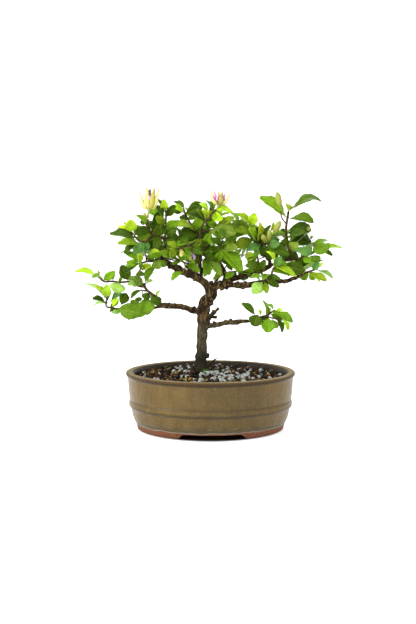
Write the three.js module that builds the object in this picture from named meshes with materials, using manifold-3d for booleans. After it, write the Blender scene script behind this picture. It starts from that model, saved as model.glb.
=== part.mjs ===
// A lavender star flower bonsai: a small flowering evergreen in an oval glazed pot.
// Millimetres, +Z up. The origin is on the surface that the pot stands on, under its middle.
// +X is the right of the front view, and +Y points to the back of the tree.

import * as THREE from "three";
import { mergeVertices } from "three/addons/utils/BufferGeometryUtils.js";
import Module from "manifold-3d";

const wasm = await Module();
wasm.setup();

// Driving sizes

const GAP = 0.3; // between pieces that rest against each other
const SLIVER = 0.06; // edges and steps that are smaller than this are left out of a joined piece
const WELD = 0.005; // points of a piece that lie closer than this are one

const POT = {
  length: 203.2, // over the lip, an eight inch pot
  depth: 152.4,
  height: 69,
  sides: 32,
  underside: 6, // the floor's lower face, above the surface it stands on
  floorTop: 10.5,
  footInner: 78,
  footOuter: 87.8,
  innerFoot: 82, // half length of the hollow at its floor
  innerTop: 91.6, // half length of the hollow at its mouth
};
const GATE = { middle: 1.8, floorHalf: 41.5, topHalf: 32.5 }; // the notch between the two feet
const DRAIN = { out: 45, diameter: 14, screen: 24, thickness: 0.8, bars: 2, bar: 2.4 };
const SOIL = {
  half: 88.4, // half length of its top
  edge: 61.5, // its height at the pot's wall
  mound: 4.5,
  moundReach: 48,
  relief: 1.1,
  rings: 5,
  grains: 24, // large grains that stand out of it
  grain: 2.8,
  strewn: [80, 56], // half length and depth of the oval that they lie in
};
const STAND = { x: -11, y: 10 }; // where the trunk leaves the soil
const ROOTS = { count: 4, reach: 26, top: 73, deep: 50, core: 14, thick: 10, thin: 4 };
const LEAF = {
  thickness: 1.3, // from the edges to the midrib below
  slender: 0.44, // the least width over length
  arch: 0.09,
  wave: 0.05,
  petiole: 1.1,
  root: 0.6, // thickness of the petiole's foot, which stands in the twig
  inset: 0.9, // from a twig's bend or end to the nearest foot
  neck: 3.5, // a longer petiole has a section of its own at the blade
  broad: 13, // a wider blade has four stations
  narrow: 6, // and one no wider than this has two
};

// The branches and leaves are laid out on the front view of the tree, as a 50 mm lens sees it
// from about a metre. A place there is a column and a row of that view, and a depth in mm that
// counts from the middle of the pot towards the back.
const VIEW = { x: -3, y: -1026.3, z: 263.1, pitch: 0.1192, focal: 866.7, column: 208, row: 312 };

/** The point of the tree at a column and row of the front view, at a depth. */
function seen([column, row, depth]) {
  const across = (column - VIEW.column) / VIEW.focal;
  const down = (row - VIEW.row) / VIEW.focal;
  const reach = (depth - VIEW.y) / (Math.cos(VIEW.pitch) - down * Math.sin(VIEW.pitch));
  return new THREE.Vector3(
    VIEW.x + reach * across,
    depth,
    VIEW.z - reach * (Math.sin(VIEW.pitch) + down * Math.cos(VIEW.pitch)),
  );
}

// The size in mm of one step of the front view, at the middle of the tree.
const STEP = -VIEW.y / VIEW.focal;

// Tones

const TONES = {
  lime: 0xb4dc28,
  yellow: 0xc8d214,
  mid: 0x5a961e,
  olive: 0x78a028,
  dark: 0x34600f,
  teal: 0x5a966e,
  pale: 0x96c364,
  grey: 0x6e8c50,
  cream: 0xebe18c,
  stripe: 0xaaa03c,
  lilac: 0xe1c8eb,
  magenta: 0xc864b4,
  plum: 0x501e3c,
  glaze: 0x8c7855,
  plastic: 0x202020,
  soil: 0x3a3430,
  bark: 0x4b3c28,
};

// Wood: rows of column, row, depth and thickness in mm

const WOOD = {
  trunk: [
    [200.8, 372, 10, 20], [200.8, 366, 10, 16.6], [200.8, 360, 10, 14.2], [201.7, 350, 9, 12.8],
    [201.9, 340, 9, 12.2], [202.3, 330, 8, 12.6], [203.4, 323, 7, 15], [202.8, 316, 6, 14],
    [203.3, 309, 5, 15.4], [205, 302, 4, 17], [209.4, 296, 2, 13.6], [212, 291, 0, 13.6],
    [212.4, 287, 0, 10.4],
  ],
  left_limb: [
    [211.5, 291, 0, 9.4], [206, 283.8, -1, 8.2], [199.8, 278, -3, 7.8], [191.6, 274.5, -4, 7.4],
    [183, 270.9, -5, 7.4], [175.3, 266.3, -6, 7.4], [167.7, 262.4, -7, 7.2], [161.5, 258.9, -8, 6.2],
    [158, 257.4, -8, 4.8],
  ],
  right_limb: [
    [212, 291, 0, 9], [217, 286.5, -1, 8.4], [221.5, 284, -2, 7.6], [226, 284, -3, 7],
    [234, 285, -5, 6.8], [240, 285.3, -7, 6.6], [248, 285.3, -9, 6.4], [257.4, 283, -10, 6.2],
    [267, 281.7, -10, 5.6], [276.6, 281.7, -9, 5.2], [286, 280.8, -7, 4.8], [295.7, 277.8, -5, 4.2],
    [303.5, 274.6, -3, 3.2],
  ],
  upper_right: [
    [224, 282, -2, 5.6], [231.6, 279.5, 0, 5.4], [243, 276.9, 4, 5.2], [253.6, 273.6, 8, 5],
    [262, 270.4, 10, 4.8], [270, 266, 11, 4.8], [269.5, 261, 12, 4.4], [266, 256, 13, 4],
    [262, 251, 14, 3.6], [256.5, 246, 15, 2.8],
  ],
  centre: [
    [224, 282, -2, 5], [225.5, 277, 3, 4.8], [224, 271, 8, 4.6], [221, 265, 12, 4.2],
    [217, 260, 15, 3.8], [211, 258, 17, 3.4], [204, 255, 14, 3.2], [202, 251, 10, 3],
  ],
  leader: [[204, 255, 14, 3.2], [201, 247, 6, 3], [200, 240, 4, 2.6], [200.6, 234, 3, 2.2]],
  centre_stem: [
    [201, 281, -2, 5], [201, 272, -4, 4.6], [199.5, 264, -5, 4.2], [200.5, 257, -6, 3.6],
    [203, 252, -7, 3], [206.5, 247.5, -8, 2.6], [209, 244, -9, 2.2],
  ],
  low_left: [
    [203, 311.5, 3, 7], [198, 311.2, -2, 6.8], [192, 310.2, -6, 6.6], [186, 308.1, -10, 6.4],
    [180, 306.3, -13, 6.2], [170, 305.7, -17, 6], [162, 305.2, -20, 5.4], [158, 307, -21, 4.2],
  ],
  low_right: [
    [205, 326, 4, 6.8], [214, 325, -2, 6.2], [221, 323.5, -6, 6], [226, 322.5, -9, 5.8],
    [232, 322.3, -12, 5.4], [238, 321.7, -15, 4.8], [246, 321.5, -18, 4.2], [253, 320.6, -21, 3.4],
  ],
  back_left: [
    [209, 296, 4, 7], [207, 287, 14, 6], [201, 278, 26, 5], [193, 271, 37, 4], [185, 266, 44, 3.2],
  ],
  back_right: [
    [222, 284.5, -1, 6], [230, 281, 12, 5], [240, 276, 26, 4.4], [250, 272, 36, 3.8],
    [258, 268, 43, 3.2],
  ],
  back_middle: [
    [208, 299, 4, 6.4], [211, 291, 15, 5], [215, 283, 28, 4.2], [219, 276, 39, 3.4], [222, 271.5, 46, 3],
  ],
};

// Pruned stubs and knots: from column, row, depth to column, row, depth, and thickness in mm
const STUBS = [
  [204, 304, 0, 198, 299.5, -6, 6], [206, 304, 0, 212.5, 302.6, -5, 5.6],
  [203, 356, 9, 208.4, 355.5, 5, 5.2], [203, 317, 4, 208, 316, -2, 3.8],
  [208, 316, -2, 213.9, 311.8, -5, 3.2], [213.9, 311.8, -5, 219, 307.5, -6, 2.6],
  [212.5, 312.8, -4.5, 213.4, 308.2, -6, 2.6], [206, 316.5, 4, 217, 316.8, -1, 2.6],
  [195, 310.5, -4, 194, 307, -6, 3.4], [221.8, 286, -2.4, 221.3, 290.8, -4.4, 3.6],
  [243, 286, -8, 243, 289.3, -9, 3.2], [214, 325, -2, 214.5, 321.8, -4, 3.6],
  [230.5, 322.5, -11, 230.5, 318.8, -13, 3.4], [237.5, 322, -15, 237.5, 324.4, -17, 3.2],
  [201, 345, 9, 196.4, 343, 6, 3.4], [203, 333, 8, 207.6, 331.6, 5, 3.6],
];
const DEAD_TWIG = [[208.5, 366, 6, 4], [212, 362, 2, 2.6], [217.5, 357.5, -2, 1.4]];

// Sprays: what grows at the end of each branch. A twig is a route of column, row and depth that
// narrows from its first thickness to its second, in mm. A leaf row is the blade's base as column,
// row and depth, its tip the same way, its seen width in steps of the view, and its tone.

const SPRAYS = {
  left_reach: {
    twigs: [
      { thick: 2.8, thin: 2.2, route: [
        [161, 304, -20], [157, 298, -21], [152, 294, -22], [148, 291, -23], [144.5, 286, -23],
        [144.5, 283.5, -23],
      ] },
      { thick: 2.2, thin: 1.3, route: [
        [145, 287, -23], [137, 285.5, -24], [131, 282, -25], [120, 282.3, -23], [112, 281.3, -22],
        [104, 281.5, -20], [99, 277.5, -19], [96.5, 276, -18],
      ] },
      { thick: 1.8, thin: 1.2, route: [[147.5, 291, -23], [141.5, 290.5, -24]] },
    ],
    leaves: [
      [95.5, 275.5, -18, 75.5, 272.5, -12, 4.5, "lime"],
      [97.5, 276.5, -18, 98, 270.5, -17, 2, "yellow"],
      [104, 281, -20, 92.5, 277.3, -34, 2.5, "mid"],
      [104, 280, -20, 115, 271.5, -27, 7, "mid"],
      [113, 280.5, -22, 112, 274, -11, 5, "mid"],
      [118, 281.5, -23, 119.5, 277, -32, 2.5, "mid"],
      [119, 283, -24, 116, 292.8, -33, 14, "pale"],
      [127.5, 280.5, -25, 121, 267, -34, 10, "mid"],
      [138, 285.5, -25, 128, 284.3, -38, 3, "pale"],
      [141, 289, -24, 131, 298, -31, 2.5, "dark"],
      [143, 283.5, -24, 130, 278, -33, 9, "grey"],
      [146, 284, -23, 153, 281, -29, 2.5, "pale"],
      [145, 282.5, -22, 153, 267, -11, 4, "mid"],
      [146, 297.5, -26, 147, 314.5, -31, 14, "mid"],
      [142, 299.5, -27, 135.5, 299, -34, 4, "dark"],
      [150, 297.5, -25, 142, 295, -35, 7, "dark"],
      [161, 302.5, -23, 152, 299, -35, 8, "dark"],
      [156.5, 297, -21, 160, 291, -17, 2, "lime"],
    ],
  },
  left_low: {
    twigs: [
      { thick: 2.8, thin: 1.3, route: [
        [157, 307.3, -22], [146, 309, -23], [135, 310, -25], [125, 309.5, -26], [115.5, 308.5, -27],
        [110, 307.5, -27], [106.5, 306.5, -27], [106.5, 302, -28], [106.5, 298, -28],
      ] },
    ],
    leaves: [
      [106.5, 297, -29, 107, 285, -43, 8, "lime"],
      [105, 298, -28, 85.5, 284.5, -17, 3, "pale"],
      [104.5, 297, -29, 97.5, 286, -37, 2.5, "yellow"],
      [105.5, 303.5, -28, 92, 299.5, -40, 4, "dark"],
      [105, 303.5, -27, 94, 306, -18, 2, "pale"],
      [107.5, 301, -28, 111, 294.5, -20, 2.5, "teal"],
      [110.5, 302, -24, 122, 294.5, -9, 3, "teal"],
      [121, 305, -26, 126, 294, -16, 9, "dark"],
      [113, 306, -28, 117.5, 299, -36, 4, "lime"],
      [115, 310, -28, 109.5, 312, -34, 2.5, "dark"],
      [120, 312, -28, 112, 313, -36, 4, "pale"],
      [118, 309.5, -36, 142, 313.5, -44, 15, "olive"],
      [134, 312, -26, 128, 319, -18, 5, "mid"],
    ],
  },
  left_middle: {
    twigs: [
      { thick: 2.6, thin: 1.4, route: [
        [157, 258.6, -11], [153.4, 261, -18], [146.7, 261.5, -25], [142, 263, -29], [137, 264, -32],
      ] },
      { thick: 1.6, thin: 1.2, route: [[146.5, 262, -25], [146, 256, -27], [145, 251, -29]] },
      { thick: 1.6, thin: 1.2, route: [
        [142, 263, -29], [141, 268, -30], [138.5, 272, -31], [136, 275, -32],
      ] },
    ],
    leaves: [
      [140, 261.5, -30, 126, 271, -21, 5, "teal"],
      [142, 270, -31, 152, 266, -40, 5, "olive"],
      [140.5, 268, -31, 139.5, 262, -40, 4, "mid"],
      [154, 261.5, -19, 160.5, 268.5, -31, 9, "grey"],
      [155, 261, -17, 147, 256.5, -12, 5, "dark"],
      [140.5, 262, -30, 137, 253.5, -41, 5, "lime"],
      [144.5, 255, -30, 140.5, 243, -41, 4, "teal"],
      [145.5, 251, -29, 147, 242.5, -36, 3, "teal"],
      [147.5, 256, -28, 159, 251.5, -33, 3, "yellow"],
      [148, 258, -26, 161, 254.5, -18, 6, "mid"],
      [136.5, 265, -32, 128, 262, -44, 5, "mid"],
      [137, 275, -33, 145, 275, -44, 5, "dark"],
    ],
  },
  upper_left: {
    twigs: [
      { thick: 2.8, thin: 2, route: [
        [160.5, 255.4, -9], [164, 252, -11], [165.5, 246, -12], [165, 241, -13], [159, 236, -14],
        [153.5, 235, -15], [149, 229, -17], [147, 224, -18], [147.8, 219, -18],
      ] },
      { thick: 2, thin: 1.4, route: [
        [165, 241, -13], [165.5, 226, -8], [166, 214, -6], [165, 209, -6],
      ] },
      { thick: 1.8, thin: 1.2, route: [
        [153.5, 235, -15], [147, 240, -17], [141, 241.5, -18], [137, 239, -18], [133.5, 234, -18],
        [131, 231.5, -18],
      ] },
    ],
    leaves: [
      [130.5, 231, -19, 131, 220.5, -28, 10, "lime"],
      [128.5, 231, -18, 118.5, 226.5, -22, 2.5, "yellow"],
      [136, 240, -17, 111, 235.5, -9, 7, "dark"],
      [138, 243.5, -19, 118, 242.5, -28, 6, "olive"],
      [139.5, 244, -18, 125, 254, -21, 5, "dark"],
      [137, 244, -16, 124, 252, -6, 4, "dark"],
      [140.5, 243, -20, 134.5, 254.5, -25, 8, "teal"],
      [146, 225.5, -18, 138, 215, -26, 4, "mid"],
      [149, 230, -18, 135.5, 231, -29, 8, "dark"],
      [159.5, 238, -16, 155, 249, -24, 8, "dark"],
      [158, 235.5, -16, 158, 225, -28, 8, "dark"],
      [165, 235, -12, 176, 229, -24, 9, "dark"],
      [165, 232, -10, 151, 224, -4, 9, "mid"],
      [166, 245, -13, 174, 241, -24, 7, "dark"],
      [164, 243, -13, 151, 244, -9, 9, "dark"],
      [166.5, 228, -9, 178, 221.5, -20, 9, "mid"],
      [164.5, 219, -6, 149, 210.5, 4, 8, "mid"],
      [164, 216, -7, 155.5, 206, -14, 5, "dark"],
      [163.5, 212, -6, 157, 199.5, 2, 4, "dark"],
      [164.5, 210, -7, 164, 200.5, -16, 7, "lime"],
      [167, 216, -6, 175, 205, -14, 7, "dark"],
      [164.5, 224, -8, 156, 216.5, -20, 7, "olive"],
    ],
    buds: [[147.3, 221.5, -18, 144, 212.5, -20, 3.4]],
  },
  crown_left: {
    twigs: [
      { thick: 2.2, thin: 1.3, route: [
        [199.4, 236.5, 5], [195, 230, 8], [189, 221, 10], [185, 213, 10], [183.5, 208, 10],
      ] },
    ],
    leaves: [
      [183.5, 212, 8, 171.5, 204, 1, 4, "lime"],
      [184.5, 208.5, 11, 174.5, 202.5, 19, 4, "dark"],
      [186.5, 213.5, 9, 201, 206.5, 3, 8, "dark"],
      [188, 222, 9, 169, 224, 3, 5, "olive"],
      [196, 231, 7, 175, 226, -7, 6, "olive"],
      [191.5, 224, 11, 206, 221, 19, 6, "grey"],
      [196.5, 235, 4, 176, 241, -6, 9, "teal"],
      [188.5, 219.5, 11, 177.5, 214.5, 21, 9, "dark"],
      [193.5, 228, 10, 181.5, 233, 20, 8, "dark"],
    ],
  },
  leader_top: {
    twigs: [
      { thick: 2, thin: 1.6, route: [
        [201, 232.6, 3], [203, 225, 3], [205.5, 221, 2], [208, 219, 2], [211, 215, 1], [213.5, 212, 0],
        [215.5, 210, -1],
      ] },
      { thick: 1.8, thin: 1.2, route: [
        [201.3, 231.5, 3], [206, 230.5, -1], [213, 229.5, -5], [220, 226, -8],
      ] },
    ],
    leaves: [
      [208, 213.5, 3, 199.5, 203.5, 13, 5, "lime"],
      [203, 219.5, 2, 196.5, 210, -8, 4, "mid"],
      [206, 219, 1, 203, 210, -8, 3, "yellow"],
      [207.5, 218, 1, 207.5, 209.5, -9, 3, "yellow"],
      [212.5, 211, 1, 206, 201, 9, 3, "teal"],
      [214, 210, 2, 212.5, 201.5, 14, 6, "olive"],
      [215, 211.5, 0, 228, 205.5, 11, 5, "olive"],
      [210, 215, 2, 211, 206, 8, 4, "dark"],
      [215, 212, -2, 232, 211, -9, 4, "lime"],
      [212.5, 215.5, -2, 223.5, 219.5, -16, 8, "lime"],
      [204, 222, 2, 191, 216, -14, 4, "dark"],
      [221, 225.5, -9, 234.5, 218, -14, 6, "olive"],
      [214, 228.5, -4, 231, 223, 5, 7, "grey"],
      [210, 232, -5, 236, 233, -19, 12, "grey"],
      [206, 231.5, -3, 197, 223, -18, 6, "mid"],
      [217, 229, -8, 224, 240, -22, 8, "dark"],
    ],
  },
  centre_left: {
    twigs: [
      { thick: 2.2, thin: 1.2, route: [
        [198.6, 241.3, 0], [196, 242, -6], [190, 245, -14], [183, 247.5, -22], [176.8, 249, -29],
      ] },
    ],
    leaves: [
      [192, 243.5, -13, 175, 246.5, -33, 5, "olive"],
      [186, 248, -19, 173, 254, -30, 7, "dark"],
      [190, 246.5, -15, 201, 253, -29, 8, "dark"],
      [187, 248, -18, 188, 258, -26, 5, "mid"],
      [184, 247, -22, 196, 243, -34, 7, "grey"],
      [177, 250, -29, 166, 252.5, -38, 6, "mid"],
      [177, 248, -29, 168, 243, -42, 6, "olive"],
      [181, 249, -25, 180, 256.5, -36, 4, "cream"],
      [195, 243.5, -8, 206, 242, -20, 6, "grey"],
    ],
  },
  left_inner: {
    twigs: [
      { thick: 2, thin: 1.2, route: [
        [197.2, 266.6, -6], [190.6, 264.5, -14], [180.4, 260.9, -24], [171, 257.5, -33],
      ] },
    ],
    leaves: [
      [196, 265, -8, 183.5, 259.5, -10, 4, "lime"],
      [186, 265, -18, 199, 273, -28, 6, "mid"],
      [183, 263.5, -20, 172.5, 278, -27, 5, "lime"],
      [191, 263.5, -14, 183, 254, -6, 6, "dark"],
      [171, 258, -33, 160, 256.5, -44, 7, "mid"],
      [172, 256.5, -33, 171, 247.5, -46, 6, "olive"],
      [175, 260, -29, 168, 268, -41, 6, "dark"],
      [180, 260.5, -24, 190, 258, -39, 6, "mid"],
    ],
  },
  centre_front: {
    twigs: [
      { thick: 2, thin: 1.3, route: [[208.4, 258.6, 13], [206.5, 259.5, 6], [206, 260, 0]] },
    ],
    leaves: [
      [203.5, 259.5, 1, 208.5, 275.5, -12, 8, "mid"],
      [208, 260.5, -1, 221, 277.5, -15, 8, "grey"],
      [206, 259.5, -1, 213, 251, -16, 6, "dark"],
    ],
  },
  centre_high: {
    twigs: [
      { thick: 2.4, thin: 1.3, route: [
        [217.5, 257.6, 13], [218.5, 254, 8], [219, 250, 3], [221.5, 245, -1],
      ] },
      { thick: 1.6, thin: 1.2, route: [[219, 251, 4], [225.5, 249, -2]] },
    ],
    leaves: [
      [225, 249.5, -3, 244.5, 270, -17, 14, "mid"],
      [223, 245.5, 0, 235, 239.5, 9, 8, "dark"],
      [221, 245, -1, 212, 238.5, -12, 6, "dark"],
      [219, 249, 2, 209, 249, 12, 6, "mid"],
      [225, 248.5, -3, 238, 249, -22, 8, "grey"],
      [219.5, 252, 4, 228, 262, 15, 8, "dark"],
    ],
  },
  fork: {
    twigs: [
      { thick: 2, thin: 1.3, route: [[227.4, 272.6, 7], [232, 272, 3], [237, 271, -1]] },
    ],
    leaves: [
      [237.5, 271, -3, 248, 278.5, -15, 9, "dark"],
      [232, 271, 3, 229, 263, 4, 6, "dark"],
      [234, 272.5, 1, 226, 279, -13, 6, "mid"],
    ],
  },
  centre_right: {
    twigs: [
      { thick: 2.2, thin: 1.3, route: [
        [255.4, 243.6, 14], [254, 240, 12], [252.5, 232, 10], [251.5, 226, 9],
      ] },
      { thick: 1.8, thin: 1.3, route: [[254.6, 242, 13], [259, 243, 8], [265, 244, 3], [270, 244, -1]] },
    ],
    leaves: [
      [251.5, 225, 8, 256, 213.5, 1, 8, "lime"],
      [252, 227.5, 9, 236.5, 213.5, 1, 6, "lime"],
      [251.5, 229.5, 10, 232, 224.5, 17, 12, "grey"],
      [253, 238, 10, 234.5, 229, 1, 6, "olive"],
      [254, 240.5, 10, 248, 228, -4, 5, "lime"],
      [257, 241.5, 9, 258.5, 222.5, 1, 4.5, "yellow"],
      [266, 243, 2, 278, 240, 12, 8, "teal"],
      [252.5, 240, 12, 235.5, 245.5, 4, 11, "olive"],
      [260, 245.5, 6, 247.5, 250.5, -6, 7, "teal"],
      [268, 246, 0, 288, 254, -13, 10, "mid"],
      [264, 245.5, 3, 271, 252, 16, 8, "dark"],
      [270, 244.5, -2, 280, 243.5, -15, 8, "teal"],
      [253, 233, 11, 264, 229, 14, 8, "dark"],
    ],
    buds: [
      [267, 242.5, 2, 262, 235.5, -8, 5.6], [269, 242.5, 0, 269.5, 230, -9, 5],
      [271, 242.5, -1, 281.5, 221.5, -7, 4.6],
    ],
  },
  right_inner: {
    twigs: [
      { thick: 2.4, thin: 1.4, route: [
        [263.5, 280.6, -14], [261.5, 272, -20], [259.5, 265, -24], [258, 260, -27], [257.5, 256, -29],
      ] },
      { thick: 2.2, thin: 1.4, route: [
        [263, 279.5, -15], [271, 275, -21], [273, 269, -24], [275, 267, -25],
      ] },
    ],
    leaves: [
      [259.5, 265.5, -25, 246, 267, -37, 11, "dark"],
      [260.5, 269, -23, 265, 259.5, -31, 6, "dark"],
      [257.5, 256, -30, 249, 257.5, -44, 7, "mid"],
      [257.5, 256, -29, 262, 247, -41, 6, "teal"],
      [274, 267.5, -25, 267.5, 252, -30, 3, "lime"],
      [275.5, 267.8, -25, 294.5, 277, -31, 5, "lime"],
      [273, 270, -24, 290, 274, -15, 7, "mid"],
      [271.5, 272, -23, 263.5, 274, -36, 5, "mid"],
      [275, 266.5, -25, 281.5, 256.5, -33, 7, "teal"],
      [261, 276, -18, 246, 279.5, -31, 5, "dark"],
      [262.5, 281.5, -16, 252.5, 291.5, -25, 11, "pale"],
      [265, 282.5, -16, 268.5, 292, -27, 6, "olive"],
      [267.5, 279, -18, 279, 278, -29, 5, "dark"],
      [267, 281, -17, 279, 287, -24, 6, "dark"],
    ],
  },
  top_right: {
    twigs: [
      { thick: 2.4, thin: 1.3, route: [
        [272.6, 264.6, 9], [279, 262, 5], [286, 260, 1], [290, 256, -2], [289, 250, -3],
        [287.5, 243, -4], [286.5, 238, -4], [286, 230, -4], [286.5, 224, -4], [287.5, 218, -4],
        [288.5, 211.5, -4],
      ] },
      { thick: 2.2, thin: 1.3, route: [
        [286.5, 260, 1], [298.5, 258.5, -3], [305, 256.5, -4], [311, 254, -5], [318, 250.5, -6],
      ] },
      { thick: 1.3, thin: 1.2, route: [[286.3, 224, -4], [281.5, 217, -11], [280.6, 211, -13]] },
    ],
    leaves: [
      [291, 208.5, -4, 321, 200.8, 4, 7, "lime"],
      [290, 218.5, -5, 312.7, 222, -17, 8, "mid"],
      [288.5, 230, -4, 309, 227, 6, 10, "dark"],
      [288.5, 238, -5, 306, 233, -16, 6, "dark"],
      [285.5, 216.5, -3, 259.5, 198, 3, 8, "mid"],
      [288, 211, -5, 285.5, 203.5, -10, 2.5, "yellow"],
      [289, 211, -4, 290, 203.5, 1, 2.5, "yellow"],
      [285.5, 233, -5, 280, 230.5, -13, 3, "dark"],
      [289, 244, -3, 310, 242, 6, 9, "dark"],
      [288, 241, -3, 279, 236, 8, 7, "mid"],
      [289.5, 249, -4, 298, 243.5, -18, 9, "grey"],
      [313, 251.5, -7, 331, 245, -18, 10, "olive"],
      [319, 250, -6, 341, 247.3, 6, 4, "lime"],
      [319, 251.5, -6, 332, 257, -14, 4, "dark"],
      [312.5, 252, -6, 297, 250, -17, 9, "teal"],
      [311, 255.5, -4, 318.5, 261, 6, 8, "mid"],
      [304, 256.5, -4, 297, 264.5, 6, 7, "dark"],
      [303, 257.5, -4, 311, 262, -12, 6, "mid"],
    ],
    buds: [[280.5, 208, -13, 277.5, 192, -14, 5]],
  },
  limb_tip: {
    twigs: [
      { thick: 2.4, thin: 1.3, route: [
        [304.6, 273.4, -3], [309, 271.5, -5], [313, 270.3, -7], [317, 269, -8],
      ] },
    ],
    leaves: [
      [305, 270.5, -6, 283.5, 266, -14, 12, "dark"],
      [313, 269, -8, 321, 260, -17, 8, "teal"],
      [317, 268, -8, 323, 263.5, -13, 3, "lime"],
      [318.5, 269, -8, 332, 276, -13, 4, "pale"],
      [312, 271.5, -8, 326.5, 279, -18, 7, "olive"],
      [308, 273, -5, 319, 282.5, 2, 5, "lime"],
    ],
  },
  lower_right: {
    twigs: [
      { thick: 3.2, thin: 1.6, route: [
        [254.6, 320.4, -22], [262, 317, -25], [267, 315.5, -27], [271, 312.5, -28], [275, 310.5, -29],
      ] },
      { thick: 1.6, thin: 1.2, route: [
        [266.5, 316, -27], [272, 318, -29], [277, 318.5, -30], [281, 318.3, -31],
      ] },
    ],
    leaves: [
      [255.5, 317.5, -24, 241.5, 304.5, -28, 6, "mid"],
      [257.5, 315, -28, 254, 326.5, -36, 13, "dark"],
      [260, 316, -25, 258.5, 310, -31, 2.5, "lime"],
      [267, 314, -27, 262.5, 301, -21, 3, "mid"],
      [273, 310, -29, 267.5, 302, -38, 2.5, "pale"],
      [268.5, 318.5, -31, 268, 332.5, -38, 12.5, "lime"],
      [272, 319.5, -30, 277, 327.5, -24, 6, "grey"],
      [273, 312.5, -29, 280, 315.5, -41, 4, "lime"],
      [276, 310.5, -30, 284, 309.5, -41, 3.5, "lime"],
      [277, 311.5, -28, 293, 319.5, -20, 10, "teal"],
      [277, 319.5, -30, 283, 331.5, -34, 4.5, "dark"],
      [281.5, 319, -31, 287, 330.5, -42, 3, "lime"],
      [265, 315.5, -25, 270.5, 306.5, -12, 5, "mid"],
    ],
  },
};

// Shoots of the far side, which the front view hides. Each spray is a list of straight shoots, as
// the start and end in mm, the number of leaves, and the length of a leaf in mm.
const FAR_SPRAYS = {
  far_left: {
    tone: "mid",
    shoots: [
      [[-32, 46, 195], [-52, 58, 206], 3, 25], [[-41, 51.6, 200.2], [-66, 44, 225], 4, 26],
      [[-50, 56, 205], [-92, 52, 204], 5, 27],
    ],
  },
  far_centre: {
    tone: "dark",
    shoots: [
      [[-26.5, 42, 196], [-24, 52, 216], 3, 24], [[-26, 51, 210], [-6, 58, 232], 4, 27],
      [[-28, 50, 207], [-38, 60, 229], 4, 25],
    ],
  },
  far_crown: {
    tone: "olive",
    shoots: [
      [[-8.5, 11.5, 233], [-2, 24, 243], 2, 22], [[-4, 20, 240], [6, 40, 249], 4, 24],
      [[-4, 20, 240], [-22, 46, 251], 4, 22],
    ],
  },
  far_right: {
    tone: "dark",
    shoots: [
      [[57, 45, 196.5], [70, 56, 204], 1, 24], [[66, 53, 202], [72, 62, 215], 4, 22],
      [[70, 56, 204], [112, 54, 210], 6, 27],
    ],
  },
  far_right_high: {
    tone: "mid",
    shoots: [
      [[58, 17.5, 214.5], [52, 32, 227], 2, 24], [[55, 27, 222], [34, 46, 243], 4, 26],
      [[53.5, 29, 224.5], [82, 44, 227], 5, 24],
    ],
  },
  far_middle: {
    tone: "mid",
    shoots: [
      [[16, 47, 186], [21, 53, 194], 2, 21], [[19, 50.5, 191], [44, 57, 206], 4, 23],
      [[17.5, 48.8, 188.5], [6, 59.5, 208], 3, 22],
    ],
  },
  far_limb: {
    tone: "olive",
    shoots: [[[102, -4, 183], [112, 14, 190], 3, 23], [[107, 5, 187], [128, 22, 195], 4, 23]],
  },
  far_left_limb: {
    tone: "dark",
    shoots: [[[-40, -1.8, 198], [-52, 16, 204], 2, 24], [[-47, 9, 202], [-82, 18, 212], 5, 27]],
  },
};
const SHOOT = { thick: 2, thin: 1.2, spread: 0.95, lift: 0.22, stalk: 1.6 };

// Blooms: a pedicel, a heart, and sepals and petals as tip column, row and depth, with their
// width in mm and their tone
const BLOOMS = {
  left: {
    pedicel: [[147.9, 218.4, -18], [148.2, 215, -18], [149, 211, -18]],
    heart: [149, 211, -18],
    sepals: [
      [139, 191.5, -15, 4.2, "cream"], [147, 186.5, -27, 5.4, "cream"], [154, 188, -26, 6.2, "stripe"],
      [159, 188.8, -14, 4.6, "cream"], [149, 189, -8, 5.4, "cream"],
    ],
    petals: [
      [143.5, 193, -19, 2.6, "lilac"], [148.5, 192, -21.5, 2.6, "lilac"], [151.8, 190.5, -18, 3, "plum"],
      [149, 194, -14.5, 3, "lilac"],
    ],
  },
  crown: {
    pedicel: [[216, 209.5, -1.3], [217.5, 207.8, -1.8], [219, 206, -2]],
    heart: [219, 206, -2],
    sepals: [
      [210, 189.8, 0, 4.6, "cream"], [222.5, 191.2, -11, 5, "stripe"], [231, 193.5, -3, 4.8, "cream"],
      [218, 189.5, 8, 5, "cream"], [213.5, 195, -11, 4.6, "stripe"],
    ],
    petals: [
      [214.6, 192.5, -3, 3.2, "magenta"], [219, 191, -5.5, 3, "lilac"],
      [224.6, 194.5, -3.5, 3.2, "magenta"], [221, 192, 1.5, 3.2, "magenta"],
    ],
  },
};
const BLOOM = { pedicel: 1.8, heart: 4.4, rise: 2.2, bulge: 0.2, column: [2.6, 10.2, 16.2] };

// Solids

/** A geometry of bare points and triangles, with points closer than a tolerance made one. */
function welded(geometry, tolerance) {
  const bare = new THREE.BufferGeometry();
  bare.setAttribute("position", geometry.getAttribute("position"));
  bare.setIndex(geometry.index);
  const merged = mergeVertices(bare, tolerance);
  const corners = merged.index.array;
  const kept = [];
  for (let i = 0; i < corners.length; i += 3) {
    const [a, b, c] = corners.slice(i, i + 3);
    if (a !== b && b !== c && c !== a) kept.push(a, b, c);
  }
  return merged.setIndex(kept);
}

/** The solid that a closed geometry bounds. */
function solidOf(geometry) {
  const { attributes, index } = welded(geometry, 1e-4);
  return new wasm.Manifold(new wasm.Mesh({
    numProp: 3,
    vertProperties: attributes.position.array,
    triVerts: new Uint32Array(index.array),
  }));
}

/** A geometry from points and triangles of their numbers. */
function geometryOf(points, triangles) {
  const geometry = new THREE.BufferGeometry();
  const places = points.flatMap((point) => point.toArray());
  geometry.setAttribute("position", new THREE.Float32BufferAttribute(places, 3));
  geometry.setIndex(triangles.flat());
  return geometry;
}

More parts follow.
